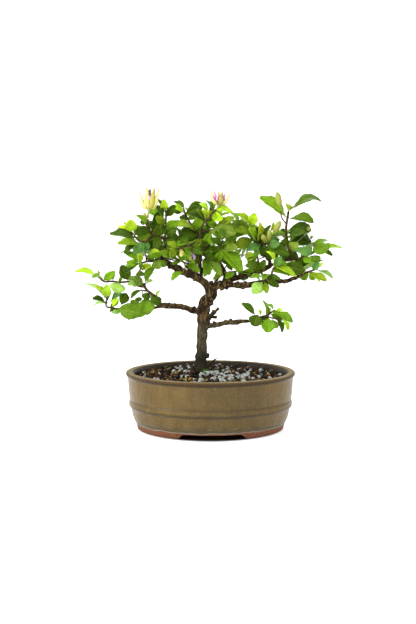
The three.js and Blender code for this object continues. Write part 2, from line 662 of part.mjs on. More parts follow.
/** All the solids joined, without slivers, or any scrap that hangs loose from the largest body. */
function joined(solids) {
  const sum = solids.reduce((whole, solid) => whole.add(solid));
  const bodies = sum.asOriginal().simplify(SLIVER).decompose();
  return bodies.reduce((largest, body) => (body.volume() > largest.volume() ? body : largest));
}

/** A named mesh of a solid. */
function pieceOf(name, solid, color, roughness = 0.6) {
  const { vertProperties, triVerts } = solid.getMesh();
  const geometry = new THREE.BufferGeometry();
  geometry.setAttribute("position", new THREE.BufferAttribute(new Float32Array(vertProperties), 3));
  geometry.setIndex(new THREE.BufferAttribute(new Uint32Array(triVerts), 1));
  const material = new THREE.MeshStandardMaterial({ color, roughness, metalness: 0, flatShading: true });
  const mesh = new THREE.Mesh(welded(geometry, WELD), material);
  mesh.name = name;
  return mesh;
}

/** A number between -0.5 and 0.5 that differs from one count to the next. */
const vary = (count) => ((count * 0.618034) % 1) - 0.5;

// Wood and leaves

/** A closed stem through points, with a thickness at each point. */
function stem(points, thicknesses, sides, grow = 0) {
  const rings = [];
  const along = points.map((_, i) => {
    const before = points[Math.max(i - 1, 0)];
    const after = points[Math.min(i + 1, points.length - 1)];
    return after.clone().sub(before).normalize();
  });
  const upright = Math.abs(along[0].z) > 0.9 ? new THREE.Vector3(1, 0, 0) : new THREE.Vector3(0, 0, 1);
  let across = upright.clone().cross(along[0]).normalize();
  points.forEach((place, i) => {
    if (i > 0) {
      const turn = new THREE.Quaternion().setFromUnitVectors(along[i - 1], along[i]);
      across = across.clone().applyQuaternion(turn);
    }
    const end = i === 0 ? -grow : i === points.length - 1 ? grow : 0;
    const point = place.clone().addScaledVector(along[i], end);
    const other = along[i].clone().cross(across);
    for (let k = 0; k < sides; k++) {
      const angle = (2 * Math.PI * (k + 0.5)) / sides;
      const radius = thicknesses[i] / 2 + grow;
      rings.push(point.clone()
        .addScaledVector(across, radius * Math.cos(angle))
        .addScaledVector(other, radius * Math.sin(angle)));
    }
  });
  const triangles = [];
  const last = (points.length - 1) * sides;
  for (let k = 0; k < sides; k++) {
    const next = (k + 1) % sides;
    for (let at = 0; at < last; at += sides) {
      triangles.push([at + k, at + next, at + sides + next], [at + k, at + sides + next, at + sides + k]);
    }
    if (k > 0 && k < sides - 1) triangles.push([0, k + 1, k], [last, last + k, last + k + 1]);
  }
  return solidOf(geometryOf(rings, triangles));
}

/** A stem whose thickness falls evenly from its first point to its last. */
function taper(points, thick, thin, sides, grow = 0) {
  const steps = points.length - 1;
  return stem(points, points.map((_, i) => thick + ((thin - thick) * i) / steps), sides, grow);
}

/**
 * A thin arched blade from base to tip, on a petiole from its root. It is a chain of three-sided
 * sections: its left and right edges, and the midrib that stands out from its lower face.
 */
function blade({ root, base, tip, face, width, arch, stations, peak = 1.1 }, grow = 0) {
  const axis = tip.clone().sub(base);
  const length = axis.length();
  axis.divideScalar(length);
  const normal = face.clone().addScaledVector(axis, -face.dot(axis)).normalize();
  const side = normal.clone().cross(axis);
  const points = [];
  const section = (middle, half, thickness) => points.push(
    middle.clone().addScaledVector(side, half).addScaledVector(normal, grow),
    middle.clone().addScaledVector(side, -half).addScaledVector(normal, grow),
    middle.clone().addScaledVector(normal, -thickness - grow),
  );
  section(root, LEAF.root / 2 + grow, LEAF.root);
  if (root.distanceTo(base) > LEAF.neck) section(base, LEAF.petiole / 2 + grow, LEAF.petiole);
  for (let i = 0; i < stations; i++) {
    const t = (i + 0.8) / (stations + 0.3);
    const wave = 1 + LEAF.wave * (i % 2 ? 1 : -1);
    const half = (width / 2) * Math.sin(Math.PI * t ** peak) ** 0.7 * wave + grow;
    const middle = base.clone().lerp(tip, t).addScaledVector(normal, 4 * t * (1 - t) * arch * length);
    section(middle, half, LEAF.thickness);
  }
  const end = points.push(tip.clone().addScaledVector(axis, grow)) - 1;
  const triangles = [[0, 2, 1]];
  for (let at = 0; at < end; at += 3) {
    const [left, right, under] = [at, at + 1, at + 2];
    if (at + 3 === end) {
      triangles.push([left, right, end], [under, left, end], [right, under, end]);
    } else {
      triangles.push(
        [left, right, right + 3], [left, right + 3, left + 3], [under, left, left + 3],
        [under, left + 3, under + 3], [right, under, right + 3], [under, under + 3, right + 3],
      );
    }
  }
  return solidOf(geometryOf(points, triangles));
}

/** The number of stations along a blade of a width. */
const stationsFor = (width) => (width > LEAF.broad ? 4 : width > LEAF.narrow ? 3 : 2);

/** The blade of a leaf row: a narrow seen width turns its upper face from the viewer to the sky. */
function leafOf([column, row, depth, tipColumn, tipRow, tipDepth, seenWidth, tone]) {
  const base = seen([column, row, depth]);
  const tip = seen([tipColumn, tipRow, tipDepth]);
  const length = base.distanceTo(tip);
  const width = Math.max(seenWidth * STEP, LEAF.slender * length);
  const axis = tip.clone().sub(base).normalize();
  const viewer = new THREE.Vector3(VIEW.x, VIEW.y, VIEW.z).sub(base).normalize();
  const front = viewer.addScaledVector(axis, -viewer.dot(axis)).normalize();
  const rise = front.clone().cross(axis);
  if ((Math.abs(rise.z) > 0.35 ? rise.z : rise.x) < 0) rise.negate();
  const turn = Math.acos(Math.min(1, (seenWidth * STEP) / width));
  const face = front.multiplyScalar(Math.cos(turn)).addScaledVector(rise, Math.sin(turn));
  return { base, tip, face, width, arch: LEAF.arch, stations: stationsFor(width), tone };
}

/** The leaves that alternate along a straight shoot, with one at its end. */
function shootLeaves([start, end, count, size], tone) {
  const from = new THREE.Vector3(...start);
  const to = new THREE.Vector3(...end);
  const ahead = to.clone().sub(from).normalize();
  const aside = new THREE.Vector3(-ahead.y, ahead.x, 0).normalize();
  const up = new THREE.Vector3(0, 0, 1);
  return Array.from({ length: count }, (_, i) => {
    const base = from.clone().lerp(to, (i + 1) / count);
    const swing = i === count - 1 ? 0 : SHOOT.spread * (i % 2 ? 1 : -1) * (1 + 0.4 * vary(i + count));
    const length = size * (1 + 0.3 * vary(3 * i + count));
    const heading = ahead.clone().multiplyScalar(Math.cos(swing))
      .addScaledVector(aside, Math.sin(swing))
      .addScaledVector(up, SHOOT.lift * (1 + 2 * vary(5 * i + count))).normalize();
    const out = base.clone().addScaledVector(heading, SHOOT.stalk);
    return {
      base: out,
      tip: out.clone().addScaledVector(heading, length),
      face: up.clone().addScaledVector(aside, 0.8 * vary(2 * i + 1)),
      width: length * (0.5 + 0.1 * vary(i)),
      arch: LEAF.arch,
      stations: 3,
      tone,
    };
  });
}

/** The point on any of several routes that is nearest to a place, a little way in from a bend. */
function nearestOn(routes, place, inset) {
  const nearest = { point: null, distance: Infinity };
  for (const route of routes) {
    for (let i = 1; i < route.length; i++) {
      const line = new THREE.Line3(route[i - 1], route[i]);
      const edge = Math.min(0.45, inset / line.distance());
      const share = THREE.MathUtils.clamp(line.closestPointToPointParameter(place, false), edge, 1 - edge);
      const point = line.at(share, new THREE.Vector3());
      const distance = point.distanceTo(place);
      if (distance < nearest.distance) Object.assign(nearest, { point, distance });
    }
  }
  return nearest.point;
}

/** The mean colour of a list of tones. */
function meanColor(tones) {
  const sum = new THREE.Color(0);
  tones.forEach((tone) => sum.add(new THREE.Color(TONES[tone])));
  return sum.multiplyScalar(1 / tones.length);
}

/** A spindle-shaped flower bud on its own short stalk. */
function bud([column, row, depth, tipColumn, tipRow, tipDepth, width], routes) {
  const foot = seen([column, row, depth]);
  const tip = seen([tipColumn, tipRow, tipDepth]);
  const fullness = [[0, 0.24], [0.3, 0.3], [0.45, 0.85], [0.75, 0.95], [1, 0.2]];
  const points = fullness.map(([t]) => foot.clone().lerp(tip, t));
  const spindle = stem(points, fullness.map(([, share]) => share * width * STEP), 5);
  const root = nearestOn(routes, foot, LEAF.inset);
  return root.distanceTo(foot) > 0.2 ? spindle.add(taper([root, points[1]], 1.2, 1.2, 4)) : spindle;
}

/**
 * Twigs, leaves and buds fused to one spray. Its first twig reaches the wood that carries it, and
 * all of it is kept clear of that wood.
 */
function sprayOf(name, twigs, thicknesses, leaves, buds, clearWood) {
  const foot = nearestOn(Object.values(WOOD).map((rows) => rows.map(seen)), twigs[0][0], 0);
  const routes = [[foot, ...twigs[0]], ...twigs.slice(1)];
  const solids = routes.map((route, i) => taper(route, thicknesses[i][0], thicknesses[i][1], 4));
  leaves.forEach((leaf, i) => {
    const root = nearestOn(routes, leaf.base, LEAF.inset + 0.5 * vary(i));
    solids.push(blade({ ...leaf, root }));
  });
  buds.forEach((row) => solids.push(bud(row, routes)));
  const color = meanColor(leaves.map(({ tone }) => tone));
  return pieceOf(`spray_${name}`, joined([joined(solids).subtract(clearWood)]), color);
}

// Pot, soil and wood

/** The oval form of a round turned one: as much shorter in depth all the way in. */
function oval(geometry) {
  const place = geometry.attributes.position;
  const flat = (POT.length - POT.depth) / 2;
  for (let i = 0; i < place.count; i++) {
    const radius = Math.hypot(place.getX(i), place.getY(i));
    if (radius > flat) place.setY(i, (place.getY(i) * (radius - flat)) / radius);
  }
  return geometry;
}

/** A turned form about +Z from pairs of radius and height. */
function turned(profile) {
  const points = profile.map(([radius, height]) => new THREE.Vector2(radius, height));
  return new THREE.LatheGeometry(points, POT.sides).rotateX(Math.PI / 2);
}

/** The pot: a lipped oval wall with a raised band, on two long feet, with two drain holes. */
function makePot() {
  const lip = POT.length / 2;
  const profile = [
    [0, POT.underside], [POT.footInner, POT.underside], [POT.footInner + 1.4, 0], [POT.footOuter, 0],
    [90, 7], [93.2, 14], [95.8, 26.6], [98, 28.4], [98.3, 32], [97.3, 36.6], [99.4, 60], [99.6, 63.4],
    [lip - 0.4, 65], [lip, 66.8], [lip - 1.4, POT.height], [lip - 7.6, POT.height], [POT.innerTop, 66.4],
    [POT.innerTop - 0.6, 60], [POT.innerFoot + 4, 15], [POT.innerFoot, POT.floorTop], [0, POT.floorTop],
  ];
  const bowl = solidOf(oval(turned(profile)));

  const { middle, floorHalf, topHalf } = GATE;
  const outline = new THREE.Shape([
    [-floorHalf, -1], [floorHalf, -1], [floorHalf, 0], [floorHalf - 2.6, 1], [topHalf + 2.4, 4.8],
    [topHalf, POT.underside], [-topHalf, POT.underside], [-topHalf - 2.4, 4.8], [-floorHalf + 2.6, 1],
    [-floorHalf, 0],
  ].map(([x, z]) => new THREE.Vector2(middle + x, z)));
  const gate = new THREE.ExtrudeGeometry(outline, { depth: POT.depth, bevelEnabled: false })
    .rotateX(Math.PI / 2).translate(0, POT.depth / 2, 0);

  const holes = [-DRAIN.out, DRAIN.out].map((x) => solidOf(
    new THREE.CylinderGeometry(DRAIN.diameter / 2, DRAIN.diameter / 2, POT.floorTop, 12)
      .rotateX(Math.PI / 2).translate(x, 0, POT.floorTop / 2 + POT.underside - 2),
  ));
  const body = [solidOf(gate), ...holes].reduce((rest, cut) => rest.subtract(cut), bowl);
  return pieceOf("pot", body, TONES.glaze, 0.35);
}

/** A plastic screen over a drain hole: a square with a grid of openings. */
function makeScreen(name, x) {
  const block = (size, u, v, height) => solidOf(
    new THREE.BoxGeometry(size, size, height).translate(x + u, v, POT.floorTop + GAP + DRAIN.thickness / 2),
  );
  const pitch = (DRAIN.screen - DRAIN.bar) / DRAIN.bars;
  const places = Array.from({ length: DRAIN.bars }, (_, i) => (i - (DRAIN.bars - 1) / 2) * pitch);
  let sheet = block(DRAIN.screen, 0, 0, DRAIN.thickness);
  for (const u of places) {
    for (const v of places) sheet = sheet.subtract(block(pitch - DRAIN.bar, u, v, 2 * DRAIN.thickness));
  }
  return pieceOf(name, sheet, TONES.plastic, 0.7);
}

/** The height of the soil at a place: highest round the trunk. */
function soilTop(x, y) {
  const away = Math.hypot(x - STAND.x, y - STAND.y) / SOIL.moundReach;
  return SOIL.edge + SOIL.mound * Math.exp(-away * away);
}

/** The soil: a mounded body with a grainy top that fills the pot, holed for the trunk and roots. */
function makeSoil(clearWood) {
  const bottom = POT.floorTop + DRAIN.thickness + 2 * GAP;
  const profile = [
    [0, bottom], [POT.innerFoot - 1, bottom], [POT.innerFoot + 3.2, 15.4],
    [POT.innerTop - 1.2, SOIL.edge - 1],
  ];
  for (let ring = SOIL.rings; ring >= 1; ring--) {
    profile.push([(SOIL.half * ring) / SOIL.rings, SOIL.edge]);
  }
  profile.push([0, SOIL.edge]);
  const body = oval(turned(profile));
  const place = body.attributes.position;
  for (let i = 0; i < place.count; i++) {
    if (place.getZ(i) < SOIL.edge - 0.5) continue;
    const [x, y] = [place.getX(i), place.getY(i)];
    const grain = Math.hypot(x, y) < 1 ? 0 : vary(Math.round(x * 7) * 13 + Math.round(y * 7) * 29);
    place.setZ(i, soilTop(x, y) + 2 * SOIL.relief * grain);
  }
  const solids = [solidOf(body)];
  for (let i = 0; i < SOIL.grains; i++) {
    const angle = i * 2.39996;
    const share = Math.sqrt((i + 0.5) / SOIL.grains);
    const [x, y] = [SOIL.strewn[0] * share * Math.cos(angle), SOIL.strewn[1] * share * Math.sin(angle)];
    solids.push(solidOf(new THREE.OctahedronGeometry(SOIL.grain * (1 + 0.5 * vary(i)))
      .rotateX(i).rotateY(2 * i).translate(x, y, soilTop(x, y) + 0.9)));
  }
  return pieceOf("soil", joined([joined(solids).subtract(clearWood)]), TONES.soil, 0.95);
}

/** The routes of the roots that spread from the foot of the trunk into the soil. */
function rootRoutes() {
  const routes = [[[STAND.x, STAND.y, 70], [STAND.x, STAND.y, 52], [STAND.x + 2, STAND.y, ROOTS.deep - 8]]];
  for (let i = 0; i < ROOTS.count; i++) {
    const angle = (2 * Math.PI * (i + 0.35 * vary(i))) / ROOTS.count;
    const [cos, sin] = [Math.cos(angle), Math.sin(angle)];
    const at = (out, height) => [STAND.x + out * cos, STAND.y + out * sin, height];
    routes.push([at(2, ROOTS.top), at(13, 64), at(ROOTS.reach, ROOTS.deep)]);
  }
  return routes.map((route) => route.map((place) => new THREE.Vector3(...place)));
}

/** The roots, each grown by a clearance. */
function rootSolids(grow = 0) {
  return rootRoutes().map((route, i) => (
    taper(route, i === 0 ? ROOTS.core : ROOTS.thick, i === 0 ? 8 : ROOTS.thin, i === 0 ? 8 : 4, grow)));
}

/** All the wood of the trunk and its branches, each part grown by a clearance. */
function woodSolids(grow = 0) {
  const solids = rootSolids(grow);
  for (const [name, rows] of Object.entries(WOOD)) {
    const sides = name === "trunk" ? 8 : 5;
    solids.push(stem(rows.map(seen), rows.map((row) => row[3]), sides, grow));
  }
  for (const [column, row, depth, toColumn, toRow, toDepth, thick] of STUBS) {
    const ends = [seen([column, row, depth]), seen([toColumn, toRow, toDepth])];
    solids.push(taper(ends, thick, thick * 0.7, 5, grow));
  }
  solids.push(stem(DEAD_TWIG.map(seen), DEAD_TWIG.map((row) => row[3]), 4, grow));
  return solids;
}

// Blooms

/** The sepals and petals of a bloom, as blades whose faces look out from its axis. */
function floretBlades(rows, heart, lift, arch) {
  const foot = seen(heart).add(new THREE.Vector3(0, 0, lift));
  const tips = rows.map(seen);
  const centre = tips.reduce((sum, tip) => sum.add(tip), new THREE.Vector3()).divideScalar(tips.length);
  return rows.map((row, i) => {
    const tip = tips[i];
    const out = tip.clone().sub(centre).setZ(0).normalize();
    const base = foot.clone().addScaledVector(out, 0.8);
    return { root: foot, base, tip, face: out, width: row[3], arch, stations: 3, peak: 0.8 };
  });
}

/** The two pieces of a bloom: sepals on their stalk, and petals that stand inside them. */
function makeBloom(name, { pedicel, heart, sepals, petals }, clearWood) {
  const outside = floretBlades(sepals, heart, BLOOM.rise / 2, BLOOM.bulge);
  const cup = (grow) => outside.map((part) => blade(part, grow));
  const stalk = (grow) => [
    taper(pedicel.map(seen), BLOOM.pedicel, BLOOM.pedicel, 5, grow),
    stem([0, 0.35, 0.8, 1].map((t) => seen(heart).add(new THREE.Vector3(0, 0, (t - 0.3) * 4))),
      [1.6, BLOOM.heart, BLOOM.heart, 2.4], 6, grow),
  ];
  const outer = joined([...stalk(0), ...cup(0)]).subtract(clearWood);
  const inner = floretBlades(petals, heart, BLOOM.rise + 2.4, BLOOM.bulge / 2);
  const column = BLOOM.column.map((height) => seen(heart).add(new THREE.Vector3(0, 0, height)));
  const eye = stem(column, [1.8, 2.2, 1.2], 5);
  const corolla = joined([eye, ...inner.map((part) => blade(part))]);
  const clear = [...stalk(GAP), ...cup(GAP)].reduce((sum, solid) => sum.add(solid));
  const colorOf = (rows) => meanColor(rows.map((row) => row[4]));
  return [
    pieceOf(`bloom_${name}_sepals`, joined([outer]), colorOf(sepals)),
    pieceOf(`bloom_${name}_petals`, joined([corolla.subtract(clear)]), colorOf(petals)),
  ];
}

// The whole tree

const bonsai = new THREE.Group();
bonsai.add(makePot());
bonsai.add(makeScreen("drain_screen_left", -DRAIN.out));
bonsai.add(makeScreen("drain_screen_right", DRAIN.out));
bonsai.add(pieceOf("trunk", joined(woodSolids()), TONES.bark, 0.9));
const clearWood = woodSolids(GAP).reduce((sum, solid) => sum.add(solid));
bonsai.add(makeSoil(clearWood));

for (const [name, { twigs, leaves, buds = [] }] of Object.entries(SPRAYS)) {
  const routes = twigs.map(({ route }) => route.map(seen));
  const thicknesses = twigs.map(({ thick, thin }) => [thick, thin]);
  bonsai.add(sprayOf(name, routes, thicknesses, leaves.map(leafOf), buds, clearWood));
}
for (const [name, { tone, shoots }] of Object.entries(FAR_SPRAYS)) {
  const routes = shoots.map(([start, end]) => [new THREE.Vector3(...start), new THREE.Vector3(...end)]);
  const thicknesses = shoots.map(() => [SHOOT.thick, SHOOT.thin]);
  const leaves = shoots.flatMap((shoot) => shootLeaves(shoot, tone));
  bonsai.add(sprayOf(name, routes, thicknesses, leaves, [], clearWood));
}
for (const [name, bloom] of Object.entries(BLOOMS)) {
  makeBloom(name, bloom, clearWood).forEach((piece) => bonsai.add(piece));
}

export default bonsai;
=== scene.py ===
"""The looks of a lavender star flower bonsai in an oval glazed pot.

Lengths in the tables are millimetres, or steps of the front view, and every object is in metres.
+X is the right of the front view, +Y points to the back and +Z up.
"""

import logging
import math
import random
from dataclasses import dataclass, field
from enum import Enum
from functools import cache
from typing import Callable, ClassVar, Iterable, Optional, Sequence

import bmesh
import bpy
from mathutils import Matrix, Quaternion, Vector

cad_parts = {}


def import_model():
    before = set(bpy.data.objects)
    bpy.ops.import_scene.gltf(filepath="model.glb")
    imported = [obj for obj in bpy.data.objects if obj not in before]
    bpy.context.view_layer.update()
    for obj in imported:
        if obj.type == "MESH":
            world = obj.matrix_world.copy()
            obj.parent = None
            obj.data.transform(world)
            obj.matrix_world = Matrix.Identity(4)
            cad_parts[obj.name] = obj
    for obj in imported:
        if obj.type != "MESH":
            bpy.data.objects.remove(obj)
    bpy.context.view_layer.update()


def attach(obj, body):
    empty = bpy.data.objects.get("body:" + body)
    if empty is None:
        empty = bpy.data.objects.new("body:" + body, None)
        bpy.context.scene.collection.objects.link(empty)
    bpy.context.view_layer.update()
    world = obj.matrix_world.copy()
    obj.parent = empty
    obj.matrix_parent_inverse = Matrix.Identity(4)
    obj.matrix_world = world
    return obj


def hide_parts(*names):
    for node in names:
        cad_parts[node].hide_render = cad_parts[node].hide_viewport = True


LOG = logging.getLogger("bonsai")
MM = 0.001
BODY = "root"
WHITE = (1.0, 1.0, 1.0, 1.0)
# How much less the pot's half width is than its half length, and where the trunk stands, in mm
WAIST = 25.4
STAND = (-11.0, 10.0)

Piece = bpy.types.Object
Material = bpy.types.Material
Socket = bpy.types.NodeSocket
Color = tuple[float, float, float, float]
Pairs = tuple[tuple[float, float], ...]
Triples = tuple[tuple[float, float, float], ...]
# The points of a tube and its thickness at each, in metres
Route = tuple[Sequence[Vector], Sequence[float]]


class Tone(Enum):
    """The colours of leaves and flowers, as sRGB."""

    # LIME is the bright green of young leaves, partly a painted glow of light coming through them
    LIME = 0xA6CA24
    YELLOW = 0xB6CC2C
    MID = 0x6E9614
    BROAD = 0x4E6E0A
    OLIVE = 0x809A1A
    DARK = 0x425E06
    # TEAL is leaf green with a painted bluish sheen
    TEAL = 0x5C8C40
    PALE = 0x96BC58
    # GREY is leaf green with a painted bluish sheen
    GREY = 0x708A2A
    CREAM = 0xDCD27C
    STRIPE = 0x9A9236
    LILAC = 0xD2A6E0
    MAGENTA = 0xCC5AB4
    PLUM = 0x501838
    STALK = 0x6A7230
    BUD = 0x8E9432
    STEM = 0x9AA04A
    EYE = 0xE6D26E

    def rgba(self) -> Color:
        """Gives the colour as a linear one."""
        return linear(self.value)


def linear(color: int) -> Color:
    """Turns a colour written as 0xRRGGBB into a linear one.

    Args:
        color: the sRGB colour.

    Returns:
        Linear red, green and blue, and an alpha of one.
    """
    shares = [((color >> shift) & 255) / 255 for shift in (16, 8, 0)]
    red, green, blue = (s / 12.92 if s <= 0.04045 else ((s + 0.055) / 1.055) ** 2.4 for s in shares)
    return (red, green, blue, 1.0)


def vary(count: float) -> float:
    """Gives a number between -0.5 and 0.5 that differs from one count to the next."""
    return (count * 0.618034) % 1 - 0.5


def inside(outline: Pairs, column: float, row: float) -> bool:
    """Says whether a place of the front view is within a closed outline.

    Args:
        outline: the outline's corners as column and row.
        column: the place's column.
        row: the place's row.

    Returns:
        Whether the outline goes round the place.
    """
    within = False
    for (x, y), (next_x, next_y) in zip(outline, (*outline[1:], outline[0])):
        if (y > row) != (next_y > row) and column < x + (next_x - x) * (row - y) / (next_y - y):
            within = not within
    return within


@dataclass(frozen=True)
class FrontView:
    """Where the front view is taken from, in mm, and how a place on it becomes a point."""

    x: float = -3.0
    y: float = -1026.3
    z: float = 263.1
    pitch: float = 0.1192
    focal: float = 866.7
    column: float = 208.0
    row: float = 312.0
    lens: float = 50.0
    long_side: float = 36.0

    def point(self, place: Sequence[float]) -> Vector:
        """Finds the point of the tree at a place of the view.

        Args:
            place: column and row of the view, and depth in mm towards the back.

        Returns:
            The point in metres.
        """
        column, row, depth = place[:3]
        across = (column - self.column) / self.focal
        down = (row - self.row) / self.focal
        reach = (depth - self.y) / (math.cos(self.pitch) - down * math.sin(self.pitch))
        fall = math.sin(self.pitch) + down * math.cos(self.pitch)
        return Vector((self.x + reach * across, depth, self.z - reach * fall)) * MM

    @property
    def step(self) -> float:
        """The size of one step of the view at the middle of the tree, in metres."""
        return -self.y / self.focal * MM

    @property
    def eye(self) -> Vector:
        """The place of the camera, in metres."""
        return Vector((self.x, self.y, self.z)) * MM


VIEW = FrontView()


@dataclass(frozen=True)
class Twig:
    """A twig: its first and last thickness in mm, and its route as column, row and depth."""

    thick: float
    thin: float
    route: list[list[float]]


@dataclass(frozen=True)
class SprayPlan:
    """A spray of the near side.

    A leaf is the column, row and depth of its blade's base, then of its tip, its seen width in
    steps of the view, its tone unless it is dark, and its form if that is set. A bud is laid out
    the same way, with no tone.
    """

    twigs: list[Twig]
    leaves: list[list]
    buds: list[list[float]] = field(default_factory=list)


@dataclass(frozen=True)
class FarPlan:
    """A spray of the far side: a tone, and shoots as start and end in mm, leaf count and leaf length."""

    tone: str
    shoots: list[list]


@dataclass(frozen=True)
class BloomPlan:
    """A bloom: the route of its stalk, its heart, and sepals and petals as tip, width in mm and tone.

    The spread is how far from the heart they begin, in mm.
    """

    pedicel: list[list[float]]
    heart: list[float]
    sepals: list[list]
    petals: list[list]
    spread: float = 1.8


# Layout read from the front view

WOOD: dict[str, list[list[float]]] = {
    "trunk": [
        [200.8, 372, 10, 20], [200.8, 366, 10, 16.6], [200.8, 360, 10, 14.2], [201.7, 350, 9, 12.4],
        [201.9, 340, 9, 12.2], [202.3, 330, 8, 13.4], [203.6, 323, 7, 15], [203.4, 316, 6, 14],
        [203.8, 309, 5, 15.2], [205.6, 302.6, 4, 15.6], [211, 296.6, 2, 12], [212, 291, 0, 13.6],
        [212.4, 287, 0, 10.4],
    ],
    "left_limb": [
        [211.5, 291, 0, 9.8], [206, 284.4, -1, 9.2], [199.8, 278.6, -3, 8.8], [191.6, 275.3, -4, 8.6],
        [183, 271.7, -5, 8.6], [175.3, 267, -6, 8.2], [167.7, 262.9, -7, 7.6], [161.5, 259.2, -8, 6.4],
        [158, 257.4, -8, 4.8],
    ],
    "right_limb": [
        [212, 291, 0, 9], [217, 286.5, -1, 8.4], [221.5, 284, -2, 7.6], [226, 284, -3, 7],
        [234, 285, -5, 6.8], [240, 285.3, -7, 6.6], [248, 285.3, -9, 6.4], [257.4, 283, -10, 6.2],
        [267, 281.7, -10, 5.6], [276.6, 281.7, -9, 5.2], [286, 280.8, -7, 4.8], [295.7, 277.8, -5, 4.2],
        [303.5, 274.6, -3, 3.2],
    ],
    "upper_right": [
        [224, 282, -2, 5.6], [231.6, 279.5, 0, 5.4], [243, 276.9, 4, 5.2], [253.6, 273.6, 8, 5],
        [262, 270.4, 10, 4.8], [270, 266, 11, 4.8], [269.5, 261, 12, 4.4], [266, 256, 13, 4],
        [262, 251, 14, 3.6], [256.5, 246, 15, 2.8],
    ],
    "centre": [
        [224, 282, -2, 5], [225.5, 277, 3, 4.8], [224, 271, 8, 4.6], [221, 265, 12, 4.2],
        [217, 260, 15, 3.8], [211, 258, 17, 3.4], [204, 255, 14, 3.2], [202, 251, 10, 3],
    ],
    "leader": [[204, 255, 14, 3.2], [201, 247, 6, 3], [200, 240, 4, 2.6], [200.6, 234, 3, 2.2]],
    "centre_stem": [
        [201, 281, -2, 5], [201, 272, -4, 4.6], [199.5, 264, -5, 4.2], [200.5, 257, -6, 3.6],
        [203, 252, -7, 3], [206.5, 247.5, -8, 2.6], [209, 244, -9, 2.2],
    ],
    "low_left": [
        [203, 311.5, 3, 7], [198, 311.2, -2, 6.8], [192, 310.2, -6, 6.6], [186, 308.1, -10, 6.4],
        [180, 306.3, -13, 6.2], [170, 305.7, -17, 6.8], [162, 305.4, -20, 6.2], [158, 307, -21, 4.2],
    ],
    "low_right": [
        [205, 326.6, 4, 6.8], [214, 325.6, -2, 6.2], [221, 324, -6, 6], [226, 322.8, -9, 5.8],
        [232, 322.3, -12, 5.4], [238, 321.7, -15, 4.8], [246, 321.5, -18, 4.2], [253, 320.6, -21, 3.4],
    ],
    "back_left": [
        [209, 296, 4, 7], [207, 287, 14, 6], [201, 278, 26, 5], [193, 271, 37, 4], [185, 266, 44, 3.2],
    ],
    "back_right": [
        [222, 284.5, -1, 6], [230, 281, 12, 5], [240, 276, 26, 4.4], [250, 272, 36, 3.8],
        [258, 268, 43, 3.2],
    ],
    "back_middle": [
        [208, 299, 4, 6.4], [211, 291, 15, 5], [215, 283, 28, 4.2], [219, 276, 39, 3.4],
        [222, 271.5, 46, 3],
    ],
}

STUBS: list[list[float]] = [
    [204.6, 303.4, 1, 200.6, 302, -2, 7.6], [206, 304, 0, 212.5, 302.6, -5, 5.6],
    [203, 356, 9, 208.4, 355.5, 5, 5.2], [199, 363.5, 8, 190.5, 371, 3, 5],
    [203, 318, 4, 208.6, 316.8, -2, 4.2], [208.6, 316.8, -2, 214.4, 312.6, -5, 3.8],
    [214.4, 312.6, -5, 219, 307.8, -6, 3.2], [212.8, 313.4, -4.5, 213.6, 310.4, -6, 3],
    [206, 317.2, 4, 217, 317.2, -1, 3], [195, 310.5, -4, 194, 307, -6, 3.4],
    [220.6, 286, -2.4, 222.6, 290, -4.4, 5], [222.6, 287, -3, 228, 288.8, -5, 3.2],
    [243, 286, -8, 243, 289.3, -9, 3.2], [214, 325, -2, 214.5, 321.8, -4, 3.6],
    [230.5, 322.5, -11, 230.5, 318.8, -13, 3.4],
    [237.5, 322, -15, 237.5, 324.4, -17, 3.2], [212.4, 287, 0, 210.6, 281, 0, 4.6],
]

